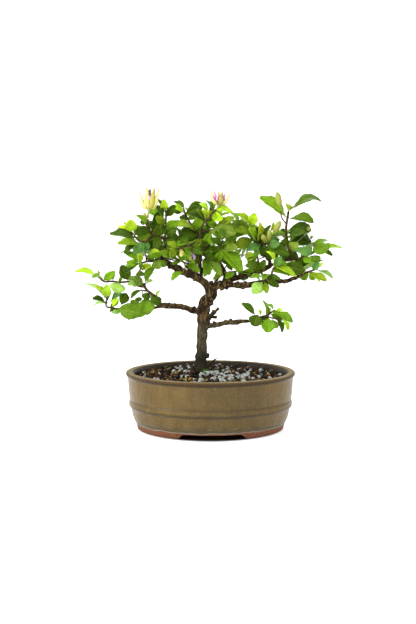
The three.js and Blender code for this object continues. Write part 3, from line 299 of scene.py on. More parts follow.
SPRAYS: dict[str, SprayPlan] = {
    "left_reach": SprayPlan([
        Twig(2.8, 2.2, [[161, 304, -20], [157, 298, -21], [152, 294, -22], [148, 291, -23],
            [144.5, 286, -23], [144.5, 283.5, -23]]),
        Twig(2.2, 1.3, [[145, 287, -23], [137, 285.5, -24], [131, 282, -25], [120, 282.3, -23],
            [112, 281.3, -22], [104, 281.5, -20], [99, 277.5, -19], [96.5, 276, -18]]),
        Twig(1.8, 1.2, [[147.5, 291, -23], [141.5, 290.5, -24]]),
    ], [
        [95.5, 275.5, -18, 75.5, 272.5, -12, 4.5, "lime"], [97.5, 276.5, -18, 98, 270.5, -17, 2, "yellow"],
        [104, 281, -20, 92.5, 277.3, -34, 2.5, "mid"], [104, 280, -20, 115, 271.5, -27, 7, "mid"],
        [113, 280.5, -22, 112, 274, -11, 5, "mid"], [118, 281.5, -23, 119.5, 277, -32, 2.5, "mid"],
        [119, 283, -24, 116, 292.8, -33, 14, "pale"], [128, 279.5, -25, 121.3, 265, -34, 10],
        [138, 286, -25, 128, 284.8, -38, 4.5, "pale"], [142, 290, -24, 131.5, 298.5, -31, 3.5],
        [143, 283.5, -24, 130, 278, -33, 9, "grey"], [146, 284, -23, 153, 281, -29, 2.5, "pale"],
        [145.5, 282.5, -22, 154, 267.5, -11, 6.5, "mid"], [146, 297.5, -26, 147, 314.5, -31, 14, "mid"],
        [142, 299.5, -27, 135.5, 299, -34, 4], [150, 297.5, -25, 142, 295, -35, 7],
        [161, 302.5, -23, 152, 299, -35, 8], [156.5, 297, -21, 160, 291, -17, 2, "lime"],
    ]),
    "left_low": SprayPlan([
        Twig(2.8, 1.3, [[157, 307.3, -22], [146, 309, -23], [135, 310, -25], [125, 309.5, -26],
            [115.5, 308.5, -27], [110, 307.5, -27], [106.5, 306.5, -27], [106.5, 302, -28],
            [106.5, 298, -28]]),
    ], [
        [106.5, 297, -29, 107, 285, -43, 8, "lime"], [105, 298, -28, 85.5, 284.5, -17, 3, "pale"],
        [104.5, 297, -29, 97.5, 286, -37, 2.5, "yellow"], [105.5, 303.5, -28, 92, 299.5, -40, 4],
        [105, 303.5, -27, 94, 306, -18, 2, "pale"], [107.5, 301, -28, 111, 294.5, -20, 2.5, "teal"],
        [110.5, 302, -24, 123.5, 294.5, -9, 5, "teal"], [121, 305, -26, 126, 294, -16, 9],
        [113, 306, -28, 117.5, 299, -36, 4, "lime"], [115, 310, -28, 109.5, 312, -34, 2.5],
        [120, 312, -28, 112, 313, -36, 4, "pale"], [118, 309, -36, 142, 313.5, -44, 14, "broad", "flat"],
        [134, 312, -26, 128, 319, -18, 5, "mid"],
    ]),
    "left_middle": SprayPlan([
        Twig(2.6, 1.4, [[157, 258.6, -11], [153.4, 261, -18], [146.7, 261.5, -25], [142, 263, -29],
            [137, 264, -32]]),
        Twig(1.6, 1.2, [[146.5, 262, -25], [146, 256, -27], [145, 251, -29]]),
        Twig(1.6, 1.2, [[142, 263, -29], [141, 268, -30], [138.5, 272, -31], [136, 275, -32]]),
    ], [
        [140, 261.5, -30, 126, 271, -21, 5, "teal"], [142, 270, -31, 152, 266, -40, 5, "olive"],
        [140.5, 268, -31, 139.5, 262, -40, 4, "mid"], [154, 261.5, -19, 160.5, 268.5, -31, 9, "grey"],
        [155, 261, -17, 147, 256.5, -12, 5], [140.5, 262, -30, 137, 253.5, -41, 5, "lime"],
        [144.5, 255, -30, 140.5, 243, -41, 4, "teal"], [145.5, 251, -29, 147, 242.5, -36, 3, "teal"],
        [147.5, 256, -28, 159, 251.5, -33, 3, "yellow"], [148, 258, -26, 161, 254.5, -18, 6, "mid"],
        [136.5, 265, -32, 128, 262, -44, 5, "mid"], [137, 275, -33, 145, 275, -44, 5],
    ]),
    "upper_left": SprayPlan([
        Twig(2.8, 2, [[160.5, 255.4, -9], [164, 252, -11], [165.5, 246, -12], [165, 241, -13],
            [159, 236, -14], [153.5, 235, -15], [149, 229, -17], [147, 224, -18], [147.8, 219, -18]]),
        Twig(2, 1.4, [[165, 241, -13], [165.5, 226, -8], [166, 214, -6], [165, 209, -6]]),
        Twig(1.8, 1.2, [[153.5, 235, -15], [147, 240, -17], [141, 241.5, -18], [137, 239, -18],
            [133.5, 234, -18], [131, 231.5, -18]]),
    ], [
        [130.5, 231.5, -19, 131, 219.6, -28, 11, "lime"],
        [128.5, 231, -18, 118.5, 226.5, -22, 2.5, "yellow"], [136, 240, -17, 111, 235.5, -9, 7],
        [138, 244.5, -19, 118, 244.4, -28, 6, "olive"], [139.5, 244, -18, 125, 254, -21, 5],
        [137, 244, -16, 126.5, 250.5, -6, 4], [140.5, 243, -20, 134.5, 254.5, -25, 8, "teal"],
        [146, 225.5, -18, 138, 215, -26, 4, "mid"], [149, 230, -18, 135.5, 231, -29, 8],
        [159.5, 238, -16, 155, 249, -24, 8], [158, 235.5, -16, 158, 225, -28, 8],
        [165, 235, -12, 176, 229, -24, 9], [165, 232, -10, 151, 224, -4, 9, "mid"],
        [166, 245, -13, 174, 241, -24, 7], [164, 243, -13, 151, 244, -9, 9],
        [166.5, 228, -9, 178, 221.5, -20, 9, "mid"], [164.5, 219, -6, 149, 210.5, 4, 8, "mid"],
        [164, 216, -7, 155.5, 206, -14, 5], [163.5, 212, -6, 157, 199.5, 2, 4],
        [164.5, 210, -7, 164, 200.5, -16, 7, "lime"], [167, 216, -6, 175, 205, -14, 7],
        [164.5, 224, -8, 156, 216.5, -20, 7, "olive"],
    ], [[147.3, 221.5, -18, 144, 212.5, -20, 3.4]]),
    "crown_left": SprayPlan([
        Twig(2.2, 1.3, [[199.4, 236.5, 5], [195, 230, 8], [189, 221, 10], [185, 213, 10],
            [183.5, 208, 10]]),
    ], [
        [183.5, 213, 8, 171.5, 205.5, 1, 5, "lime"], [184.5, 208.5, 11, 174.5, 202.5, 19, 4],
        [186.5, 213.5, 9, 201, 206.5, 3, 8], [190, 225.5, 9, 169, 227.6, 3, 5.4, "mid", "flat"],
        [196, 231, 7, 175, 226, -7, 6, "olive"], [191.5, 224, 11, 206, 221, 19, 6, "grey"],
        [196.5, 235, 4, 176, 241, -6, 9], [189, 220.5, 11, 180.5, 217.5, 21, 5],
        [193.5, 228, 10, 181.5, 233, 20, 8],
    ]),
    "leader_top": SprayPlan([
        Twig(2, 1.6, [[201, 232.6, 3], [203, 225, -5], [205.5, 221, -11], [208, 219, -13], [211, 215, -13],
            [213.5, 212, -11], [215.5, 210, -8]]),
        Twig(1.8, 1.2, [[201.3, 231.5, 3], [206, 230.5, -1], [213, 229.5, -5], [220, 226, -8]]),
    ], [
        [208, 213.5, 3, 199.5, 203.5, 13, 5, "lime"], [203, 219.5, 2, 196.5, 210, -8, 4, "mid"],
        [206, 219, 1, 203, 210, -8, 3, "yellow"], [207.5, 218, 1, 207.5, 209.5, -9, 3, "yellow"],
        [212.5, 211, 1, 206, 201, 9, 3, "teal"], [214, 210, 2, 212.5, 201.5, 14, 6, "olive"],
        [215, 211.5, 0, 226.5, 207, 11, 4.6, "olive", "flat"], [210, 215, 2, 211, 206, 8, 4],
        [215, 212, -2, 232, 211, -9, 4, "lime"], [212.5, 215.5, -2, 223.5, 219.5, -16, 8, "lime"],
        [204, 222, 2, 191, 216, -14, 4], [221, 225.5, -9, 234.5, 218, -14, 6, "olive"],
        [214, 228.5, -4, 231, 223, 5, 7, "grey"], [210, 232, -5, 236, 233, -19, 12, "grey"],
        [206, 231.5, 3, 197, 223, 12, 6, "mid"], [217, 229, -8, 224, 240, -22, 8],
    ]),
    "centre_left": SprayPlan([
        Twig(2.2, 1.2, [[198.6, 241.3, 0], [196, 242, -10], [190, 245, -22], [183, 247.5, -32],
            [176.8, 249, -38]]),
    ], [
        [192, 243.5, -13, 175, 246.5, -22, 5, "mid", "flat"], [186, 248, -19, 173, 254, -30, 7],
        [190, 246.5, -15, 201, 253, -29, 8], [187, 248, -18, 188, 258, -26, 5, "mid"],
        [184, 247.5, -22, 197, 245, -10, 7, "grey"], [177, 250, -29, 166, 252.5, -38, 6, "mid"],
        [177, 248, -29, 168, 243, -42, 6, "olive"], [181, 249, -25, 180, 256.5, -36, 4, "cream"],
        [195, 243.5, -8, 206, 242, 2, 6, "grey"],
    ]),
    "left_inner": SprayPlan([
        Twig(2, 1.2, [[197.2, 266.6, -6], [190.6, 264.5, -14], [180.4, 260.9, -24], [171, 257.5, -33]]),
    ], [
        [196, 265, -8, 183.5, 259.5, -10, 4, "lime"], [186, 265, -18, 199, 273, -28, 6, "mid"],
        [184, 271.5, -22, 172, 280, -27, 5, "mid"], [191, 263.5, -14, 183, 254, -6, 6],
        [171, 256.5, -33, 161, 252, -44, 6, "mid"], [172, 256.5, -33, 171, 247.5, -46, 6, "olive"],
        [175, 259, -29, 168.5, 250, -37, 6], [180, 260.5, -24, 190, 258, -39, 6, "mid"],
    ]),
    "centre_front": SprayPlan([
        Twig(2, 1.3, [[208.4, 258.6, 13], [206.5, 259.5, 6], [206, 260, 0]]),
    ], [
        [203.5, 259.5, 1, 208.5, 275.5, -12, 8, "mid"], [208, 260.5, -1, 220, 275.8, -15, 8, "grey"],
        [206, 259.5, -1, 213, 251, -16, 6],
    ]),
    "centre_high": SprayPlan([
        Twig(2.4, 1.3, [[217.5, 257.6, 13], [218.5, 254, 8], [219, 250, 3], [221.5, 245, -1]]),
        Twig(1.6, 1.2, [[219, 251, 4], [225.5, 249, -2]]),
    ], [
        [221.5, 250, -3, 240.6, 272.2, -17, 11.6, "mid", "flat"], [223, 245.5, 0, 235, 239.5, 9, 8],
        [221, 245, -1, 212, 238.5, -12, 6], [219, 249, 2, 209, 249, 12, 6, "mid"],
        [225, 248.5, -3, 238, 249, -22, 8, "grey"], [219.5, 252, 4, 228, 262, 15, 8],
    ]),
    "fork": SprayPlan([
        Twig(2, 1.3, [[227.4, 272.6, 7], [232, 272, 3], [237, 271, -1]]),
    ], [
        [237.5, 271, 4, 247, 277.5, 14, 9], [232, 271, 3, 229, 263, 4, 6],
        [234, 272.5, 1, 226, 279, -13, 6, "mid"],
    ]),
    "centre_right": SprayPlan([
        Twig(2.2, 1.3, [[255.4, 243.6, 14], [254, 240, 12], [252.5, 232, 10], [251.5, 226, 9]]),
        Twig(1.8, 1.3, [[254.6, 242, 13], [259, 243, 8], [265, 244, 3], [270, 244, -1]]),
    ], [
        [251.5, 225, 8, 254.7, 213, 1, 8.6, "lime"], [252, 227.5, 9, 236.5, 214.5, 1, 5, "lime", "flat"],
        [251.5, 229.5, 10, 232, 224.5, 17, 12, "grey"], [253, 238, 10, 234.5, 229, 1, 6, "olive"],
        [254, 240.5, 10, 248, 228, -4, 5, "lime"], [257, 241.5, 9, 258.5, 222.5, 1, 4.5, "yellow"],
        [266, 243, 2, 278, 240, 12, 8, "teal"], [252.5, 240, 12, 235.5, 245.5, 4, 11, "olive"],
        [260, 245.5, 6, 247.5, 250.5, -6, 7, "teal"], [268, 246, 0, 288, 254, -13, 10],
        [264, 245.5, 3, 271, 252, 16, 8], [270, 244.5, -2, 280, 243.5, -15, 8, "teal"],
        [253, 233, 11, 264, 229, 14, 8],
    ], [
        [267, 242.5, 2, 262, 235.5, -8, 5.6], [269, 242.5, 0, 269.5, 230, -9, 5],
        [273.5, 234.5, -3, 280.3, 221.2, -7, 6.4],
    ]),
    "right_inner": SprayPlan([
        Twig(2.4, 1.4, [[263.5, 280.6, -14], [261.5, 272, -20], [259.5, 265, -24], [258, 260, -27],
            [257.5, 256, -29]]),
        Twig(2.2, 1.4, [[263, 279.5, -15], [271, 275, -21], [273, 269, -24], [275, 267, -25]]),
    ], [
        [259.5, 265.5, -25, 247, 265.5, -37, 7], [260.5, 269, -23, 265, 259.5, -31, 6],
        [257.5, 256, -30, 254, 251.5, -38, 5, "mid"], [257.5, 256, -29, 253, 247.5, -38, 5, "teal"],
        [274, 267.5, -25, 267.5, 252, -30, 3, "lime"], [275.5, 267.8, -25, 294.5, 277, -31, 5, "lime"],
        [273, 270, -24, 290, 274, -15, 7, "mid"], [269.5, 275, -21, 263, 280.5, -34, 4, "mid"],
        [275, 266.5, -25, 281.5, 256.5, -33, 7, "teal"], [260.5, 272.5, -20, 250.5, 266.5, -26, 5],
        [262.5, 282, -16, 253, 293, -25, 11, "pale"], [265, 283, -16, 267, 293.4, -27, 6, "olive"],
        [267.5, 279, -18, 279, 278, -29, 5], [267, 281, -17, 279, 287, -24, 6],
    ]),
    "top_right": SprayPlan([
        Twig(3, 2, [[272.6, 264.6, 9], [279, 262, 5], [286, 260, 1], [290, 256, -2],
            [289, 250, -3], [287.5, 243, -4], [286.5, 238, -4], [286, 230, -4], [286.5, 224, -4],
            [287.5, 218, -4], [288.5, 211.5, -4]]),
        Twig(2.2, 1.3, [[286.5, 260, 1], [298.5, 258.5, -3], [305, 256.5, -4], [311, 254, -5],
            [318, 250.5, -6]]),
        Twig(1.3, 1.2, [[286.3, 224, -4], [281.5, 217, -11], [280.6, 211, -13]]),
    ], [
        [291, 209, -4, 320.5, 201, 4, 7, "broad", "arched"],
        [290, 218.5, -5, 312.7, 222, -17, 8, "broad", "arched"], [288.5, 230, -4, 309, 227, 6, 10],
        [288.5, 238, -5, 306, 233, -16, 6], [285, 217, -3, 260, 198.5, 3, 9.5, "mid", "flat"],
        [288, 211, -5, 285.5, 203.5, -10, 2.5, "yellow"], [289, 211, -4, 290, 203.5, 1, 2.5, "yellow"],
        [285.5, 233, -5, 280, 230.5, -13, 3], [289, 244, -3, 310, 242, 6, 9],
        [288, 241, -3, 283, 236.5, 8, 4, "mid"], [289.5, 249, -4, 298, 243.5, -18, 9, "grey"],
        [313, 251.5, -7, 330, 245.6, -18, 10, "mid", "flat"],
        [319, 251.5, -6, 341, 248.8, 6, 4, "lime", "flat"], [319, 251.5, -6, 332, 256.4, -14, 3.4],
        [312.5, 252, -6, 297, 250, -17, 9, "teal"], [311, 255.5, -4, 318.5, 261, 6, 8, "mid"],
        [304, 256.5, -4, 297, 264.5, 6, 7], [303, 257.5, -4, 311, 262, -12, 6, "mid"],
    ], [
        [280.5, 208, -13, 277, 192, -14, 6.4], [308, 231.5, 0, 309, 226.5, 0, 4.4],
        [310, 239, 1, 313, 235.5, 1, 3],
    ]),
    "limb_tip": SprayPlan([
        Twig(2.4, 1.3, [[304.6, 273.4, -3], [309, 271.5, -5], [313, 270.3, -7], [317, 269, -8]]),
    ], [
        [305, 270.5, -6, 283.5, 266, -14, 12], [313, 269, -8, 319, 262, -17, 6, "teal"],
        [317, 268, -8, 323, 263.5, -13, 3, "lime"], [318.5, 271, -8, 332, 278.4, -13, 3.6, "pale", "flat"],
        [312, 274, -8, 326, 281.4, -18, 6, "olive", "flat"], [308, 272.5, -5, 319, 281.5, 2, 4, "lime"],
    ]),
    "lower_right": SprayPlan([
        Twig(3.2, 1.6, [[254.6, 320.4, -22], [262, 317, -25], [267, 315.5, -27], [271, 312.5, -28],
            [275, 310.5, -29]]),
        Twig(1.6, 1.2, [[266.5, 316, -27], [272, 318, -29], [277, 318.5, -30], [281, 318.3, -31]]),
    ], [
        [254.5, 314.5, -24, 241.5, 303.8, -28, 6], [257.5, 315, -28, 254, 326.5, -36, 13],
        [260, 316, -25, 258.5, 310, -31, 2.5, "lime"], [267, 314, -27, 262.5, 301, -21, 3, "mid"],
        [273, 311, -29, 268, 304, -36, 2, "pale"], [268.5, 318.5, -31, 268, 332.5, -38, 12.5, "mid"],
        [272, 319.5, -30, 277, 327.5, -24, 6, "grey"], [273, 312.5, -29, 280, 315.5, -41, 4, "mid"],
        [276, 311, -30, 282, 310.5, -38, 3, "lime"], [275.5, 313, -28, 291.6, 322, -20, 7, "mid", "flat"],
        [277, 319.5, -30, 283, 331.5, -34, 4.5], [281.5, 319, -31, 287, 330.5, -42, 3, "lime"],
        [266, 315.5, -25, 270, 308.5, -18, 4, "mid"],
    ]),
}

FAR_SPRAYS: dict[str, FarPlan] = {
    "far_left": FarPlan("mid", [
        [[-32, 46, 195], [-52, 58, 206], 3, 25], [[-41, 51.6, 200.2], [-66, 44, 225], 4, 26],
        [[-50, 56, 205], [-90, 52, 204], 5, 21],
    ]),
    "far_centre": FarPlan("dark", [
        [[-26.5, 42, 196], [-24, 52, 216], 3, 24], [[-26, 51, 210], [-6, 58, 232], 4, 27],
        [[-28, 50, 207], [-38, 60, 225], 4, 17],
    ]),
    "far_crown": FarPlan("olive", [
        [[-8.5, 11.5, 233], [-2, 24, 243], 2, 22], [[-4, 20, 240], [6, 40, 249], 4, 24],
        [[-4, 20, 240], [-22, 46, 251], 4, 22],
    ]),
    "far_right": FarPlan("dark", [
        [[57, 45, 196.5], [70, 56, 204], 1, 24], [[66, 53, 202], [72, 62, 215], 4, 22],
        [[70, 56, 204], [112, 54, 210], 6, 27],
    ]),
    "far_right_high": FarPlan("mid", [
        [[58, 17.5, 214.5], [52, 32, 227], 2, 24], [[55, 27, 222], [34, 46, 243], 4, 26],
        [[53.5, 29, 224.5], [82, 44, 227], 5, 24],
    ]),
    "far_middle": FarPlan("mid", [
        [[16, 47, 186], [21, 53, 194], 2, 21], [[19, 50.5, 191], [44, 57, 206], 4, 23],
        [[17.5, 48.8, 188.5], [6, 59.5, 208], 3, 22],
    ]),
    "far_limb": FarPlan("olive", [
        [[102, -4, 183], [112, 14, 190], 3, 23], [[107, 5, 187], [119, 22, 193], 4, 22],
    ]),
    "far_left_limb": FarPlan("dark", [
        [[-40, -1.8, 198], [-52, 16, 204], 2, 24], [[-47, 9, 202], [-82, 18, 212], 5, 27],
    ]),
}

BLOOMS: dict[str, BloomPlan] = {
    "left": BloomPlan(
        pedicel=[[147.9, 218.4, -18], [148.2, 215, -18], [149, 211, -18]],
        heart=[149, 211, -18],
        sepals=[
            [138, 190.2, -14, 5.4, "cream"], [146, 185.2, -20, 6.2, "cream"],
            [155.4, 186.8, -21, 6.2, "stripe"], [160, 188, -14, 5, "cream"], [149, 189, -8, 6, "stripe"],
        ],
        petals=[
            [147.6, 194, -20, 4, "lilac"], [149.4, 195.5, -24, 4.8, "lilac"],
            [152, 187.8, -20, 5.8, "plum"], [150, 190, -17, 5, "plum"],
        ],
        spread=2.6,
    ),
    "crown": BloomPlan(
        pedicel=[[216, 209.5, -1.3], [217.5, 207.8, -1.8], [219, 206, -2]],
        heart=[219, 206, -2],
        sepals=[
            [209.4, 188.4, 0, 4.4, "cream"], [222.6, 191.4, -8, 5, "stripe"],
            [231.4, 192.8, -3, 4.4, "cream"], [218, 197, 8, 3.6, "stripe"], [212, 198, -8, 3.4, "cream"],
        ],
        petals=[
            [212.8, 190, -3, 5.6, "magenta"], [215.4, 194, -6.5, 4.4, "lilac"],
            [227, 193, -5, 5, "magenta"], [226, 197, 1.5, 4, "lilac"],
        ],
        spread=3.4,
    ),
}

SHADED = (
    "centre_left", "crown_left", "fork", "centre_front", "centre_high", "left_inner", "right_inner",
)

DEAD_TWIG: list[list[float]] = [[208.5, 366, 6, 4], [212, 362, 2, 2.6], [217.5, 357.5, -2, 1.4]]

DENSE: tuple[tuple[float, float], ...] = (
    (137, 222), (150, 214), (164, 224), (190, 222), (200, 214), (215, 212), (232, 222), (262, 235),
    (290, 240), (320, 246), (320, 261), (300, 271), (270, 273), (246, 266), (225, 268), (200, 262),
    (190, 264), (165, 256), (145, 252), (132, 244),
)

FILLING: dict[str, list[list]] = {
    "upper_left": [
        [151, 232, -12, 157, 213, -6, 8], [150, 233, -11, 134, 229.5, -4, 9],
        [154, 236, -11, 137, 238.5, -6, 9, "mid"], [165, 240, -9, 178, 236, -4, 9],
        [148.5, 222, -15, 141, 222, -9, 5], [160, 237, -9, 147, 243, -5, 8, "olive"],
        [132, 232, -16, 124, 223.5, -12, 4, "mid"], [165, 246, -12, 157.5, 249.5, -8, 5],
    ],
    "crown_left": [
        [184.5, 214.5, 12, 201.5, 204, 18, 11, "dark", "arched"], [187, 220, 14, 193, 216, 22, 6, "mid"],
        [183.5, 211, 10, 174, 211.5, 14, 5],
    ],
    "leader_top": [
        [211, 230, 2, 204, 243, 12, 9], [207, 230.5, 1, 212, 219.5, 8, 8, "mid"],
        [213, 230, 0, 203, 233.5, 9, 8], [218, 227, -4, 230, 238.5, 6, 8],
        [222, 226, -6, 231, 227, 4, 8, "mid"], [207, 222.5, -6, 216.5, 226, 0, 6, "mid"],
    ],
    "centre_left": [
        [195, 243, -4, 209, 247, 2, 8], [190, 245, -10, 203, 249, -4, 8],
        [186, 253, -20, 184, 260, -22, 2, "cream"], [189, 253, -20, 189.5, 260.5, -22, 2, "cream"],
        [192, 253, -20, 194, 260, -22, 2, "lilac"], [187.5, 253, -20, 187, 259.5, -24, 1.6, "magenta"],
    ],
    "left_inner": [
        [195, 266, -7, 196, 252.5, 0, 8], [181, 261, -25, 172.5, 264.5, -28, 3.6],
    ],
    "centre_front": [
        [206, 259.5, 2, 201.5, 272, 8, 5], [207, 259, 6, 206, 248, 10, 8],
        [207, 262, -1, 205, 276, -6, 6, "mid"],
    ],
    "centre_high": [
        [222, 246, 0, 236, 236, 8, 8, "mid"], [228, 242, 0, 250, 234.5, 8, 5, "mid", "flat"],
        [221, 250, 0, 223.5, 240, 8, 5], [219, 252, 6, 209, 257, 12, 7], [218, 254, 8, 232, 267, 18, 8],
    ],
    "fork": [
        [240, 273, 6, 260, 277.5, 14, 6, "mid"], [236, 271, 1, 233, 279.5, 8, 5],
        [227, 273, 7, 214, 279.5, 12, 5, "olive"],
    ],
    "centre_right": [
        [253, 235, 11, 259.5, 252, 16, 8], [264, 244, 5, 271, 226, 10, 5], [262, 243, 6, 262, 227.5, 12, 7],
        [266, 244, 12, 276, 257, 24, 8], [270.5, 231.5, 2, 273, 222.5, 4, 3, "yellow"],
    ],
    "right_inner": [
        [273, 269, -22, 284, 261.5, -14, 7], [262, 277, -17, 250.5, 278, -10, 4, "mid"],
        [271.5, 271.5, -20, 286, 273, -12, 6, "olive"], [273, 269, -22, 291, 276, -14, 5, "mid"],
    ],
    "top_right": [
        [299, 258, -2, 289, 252.5, 6, 8], [296, 259, 0, 281, 256, 8, 8],
        [288, 243, -2, 304, 237.5, 6, 9, "mid"], [289, 250, -2, 311, 231.5, 8, 8],
        [312, 253.5, -4, 327, 240.5, 4, 6, "mid"], [300, 258, -2, 311, 248, 6, 8, "mid"],
        [287, 234, -3, 311, 239, 8, 8], [289, 241, -3, 281, 241.5, -8, 5],
    ],
    "limb_tip": [[309, 271.5, -4, 300.5, 279, 2, 8, "mid"], [310, 271.3, -4, 313.5, 279.5, 2, 6, "olive"]],
    "left_low": [
        [141, 309.5, -22, 131.5, 301, -16, 8, "mid"], [146, 309, -22, 137, 316.5, -28, 7, "mid"],
        [110, 307.5, -26, 118, 300, -20, 5, "olive"],
    ],
    "left_reach": [
        [150, 293, -21, 160, 304, -16, 7, "mid"], [144.5, 285, -22, 134, 286.5, -16, 4, "mid"],
    ],
    "lower_right": [
        [270, 314, -27, 283.5, 318.5, -20, 7, "mid"], [260, 317.5, -24, 269, 320.5, -20, 5],
    ],
    "left_middle": [
        [142, 263, -26, 126, 254, -20, 6, "mid"], [138, 265, -30, 124, 274, -24, 6, "mid"],
        [156, 260, -14, 166, 265.5, -10, 6, "mid"],
    ],
}


# Modelling at the bench


class Bench:
    """The hand work that every piece needs, done with Blender's own operators."""

    @staticmethod
    def mode(mode: str) -> None:
        """Goes to edit mode or back to object mode."""
        bpy.ops.object.mode_set(mode=mode)

    @staticmethod
    def bake() -> None:
        """Puts the place, turn and size of the selected pieces in their meshes."""
        bpy.ops.object.transform_apply(location=True, rotation=True, scale=True)

    @staticmethod
    def clear() -> None:
        """Selects nothing, in object mode."""
        if bpy.context.object and bpy.context.object.mode != "OBJECT":
            Bench.mode("OBJECT")
        bpy.ops.object.select_all(action="DESELECT")

    @staticmethod
    def take(piece: Piece) -> None:
        """Makes a piece the only selected one, and the active one.

        Args:
            piece: the piece.
        """
        Bench.clear()
        piece.select_set(True)
        bpy.context.view_layer.objects.active = piece

    @staticmethod
    def pick(piece: Piece, test: Callable[[Vector], bool]) -> None:
        """Selects the points of a piece in edit mode by their place.

        Args:
            piece: the piece in edit mode.
            test: says for a point whether it is selected.
        """
        mesh = bmesh.from_edit_mesh(piece.data)
        for point in mesh.verts:
            point.select = test(point.co)
        mesh.select_flush_mode()
        bmesh.update_edit_mesh(piece.data)

    @staticmethod
    def grow(steps: Iterable[tuple[Sequence[float], Sequence[float], Sequence[float]]]) -> None:
        """Extrudes the active piece's face step by step, and turns all faces out.

        Args:
            steps: for each step its way, its growth along each axis, and the middle of that growth.
        """
        Bench.mode("EDIT")
        for way, growth, middle in steps:
            bpy.ops.mesh.extrude_region_move(TRANSFORM_OT_translate={"value": way})
            bpy.ops.transform.resize(value=growth, center_override=middle)
        bpy.ops.mesh.select_all(action="SELECT")
        bpy.ops.mesh.normals_make_consistent(inside=False)
        Bench.mode("OBJECT")

    @staticmethod
    def settle(piece: Piece, smooth: Optional[float] = None) -> None:
        """Puts a piece's place in its mesh, and smooths its shading.

        Args:
            piece: the piece.
            smooth: the angle in degrees up to which edges are shaded smooth, or None for all.
        """
        Bench.take(piece)
        Bench.bake()
        if smooth is None:
            bpy.ops.object.shade_smooth()
        else:
            bpy.ops.object.shade_smooth_by_angle(angle=math.radians(smooth))

    @staticmethod
    def modify(piece: Piece, kind: str, **settings: object) -> None:
        """Adds a modifier and applies it.

        Args:
            piece: the piece.
            kind: the modifier's type.
            settings: its properties by name.
        """
        Bench.take(piece)
        modifier = piece.modifiers.new(kind.lower(), kind)
        for name, value in settings.items():
            setattr(modifier, name, value)
        bpy.ops.object.modifier_apply(modifier=modifier.name)

    @staticmethod
    def join(pieces: Sequence[Piece], name: str) -> Piece:
        """Joins pieces to one at the origin.

        Args:
            pieces: the pieces; the first keeps its materials in front.
            name: the name of the joined piece.

        Returns:
            The joined piece.
        """
        Bench.clear()
        for piece in pieces:
            piece.select_set(True)
        bpy.context.view_layer.objects.active = pieces[0]
        if len(pieces) > 1:
            bpy.ops.object.join()
        joined = bpy.context.view_layer.objects.active
        joined.name = joined.data.name = name
        Bench.bake()
        return joined

    @staticmethod
    def copy(master: Piece, place: Matrix) -> Piece:
        """Copies a master with a mesh of its own.

        Args:
            master: the piece that is repeated.
            place: where the copy goes, with its size.

        Returns:
            The copy.
        """
        piece = master.copy()
        piece.data = master.data.copy()
        bpy.context.collection.objects.link(piece)
        piece.matrix_world = place
        return piece

    @staticmethod
    def dress(piece: Piece, *materials: Material) -> None:
        """Gives a piece these materials in place of its own.

        Args:
            piece: the piece.
            materials: the materials in the order of their slots.
        """
        piece.data.materials.clear()
        for material in materials:
            piece.data.materials.append(material)

    @staticmethod
    def drop(*pieces: Piece) -> None:
        """Throws pieces away."""
        for piece in pieces:
            bpy.data.objects.remove(piece, do_unlink=True)

    @staticmethod
    def report(piece: Piece, slot: str, node: str) -> None:
        """Attaches a finished piece to the root body, hides the node that it stands for and logs its faces.

        Args:
            piece: the piece.
            slot: the slot of its finish; not used.
            node: the node that it stands for.
        """
        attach(piece, BODY)
        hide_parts(node)
        LOG.info("%s: %d faces", piece.name, len(piece.data.polygons))


def placement(foot: Vector, axis: Vector, face: Vector, sizes: Sequence[float]) -> Matrix:
    """Makes the placement of a blade or bud.

    Args:
        foot: where it begins.
        axis: the direction from its foot to its tip.
        face: roughly where its upper face looks.
        sizes: its size sideways, along the axis and upwards.

    Returns:
        The placement.
    """
    normal = (face - axis * face.dot(axis)).normalized()
    rows = [way * size for way, size in zip((axis.cross(normal), axis, normal), sizes)]
    return Matrix.Translation(foot) @ Matrix(rows).transposed().to_4x4()


def nearest_on(routes: Iterable[Sequence[Vector]], place: Vector) -> Vector:
    """Finds the point on any of several routes that is nearest to a place.

    Args:
        routes: lists of points.
        place: the place.

    Returns:
        The nearest point.
    """
    best, least = place, math.inf
    for route in routes:
        for start, end in zip(route, route[1:]):
            line = end - start
            share = min(1.0, max(0.0, (place - start).dot(line) / line.length_squared))
            point = start + line * share
            if (point - place).length < least:
                best, least = point, (point - place).length
    return best


def tubes(routes: Sequence[Route], name: str, sides: int) -> Piece:
    """Draws smooth tubes through points and makes them one mesh.

    Args:
        routes: the points and thicknesses of each tube.
        name: the name of the mesh.
        sides: the bevel resolution, which sets how round the tubes are.

    Returns:
        The mesh object.
    """
    curve = bpy.data.curves.new(name, "CURVE")
    curve.dimensions = "3D"
    curve.bevel_depth = 1.0
    curve.bevel_resolution = sides
    curve.resolution_u = 3
    curve.use_fill_caps = True
    for points, thicknesses in routes:
        spline = curve.splines.new("BEZIER")
        spline.bezier_points.add(len(points) - 1)
        for knot, point, thickness in zip(spline.bezier_points, points, thicknesses):
            knot.co = point
            knot.radius = thickness / 2
            knot.handle_left_type = knot.handle_right_type = "AUTO"
    piece = bpy.data.objects.new(name, curve)
    bpy.context.collection.objects.link(piece)
    Bench.take(piece)
    bpy.ops.object.convert(target="MESH")
    bpy.ops.object.shade_smooth()
    return bpy.context.object


def thin_out(points: Sequence[Vector], thick: float, thin: float) -> list[float]:
    """Lets a thickness fall evenly along points.

    Args:
        points: the points.
        thick: the first thickness in mm.
        thin: the last thickness in mm.

    Returns:
        The thickness at each point, in metres.
    """
    last = max(1, len(points) - 1)
    return [(thick + (thin - thick) * i / last) * MM for i in range(len(points))]


# Finishes


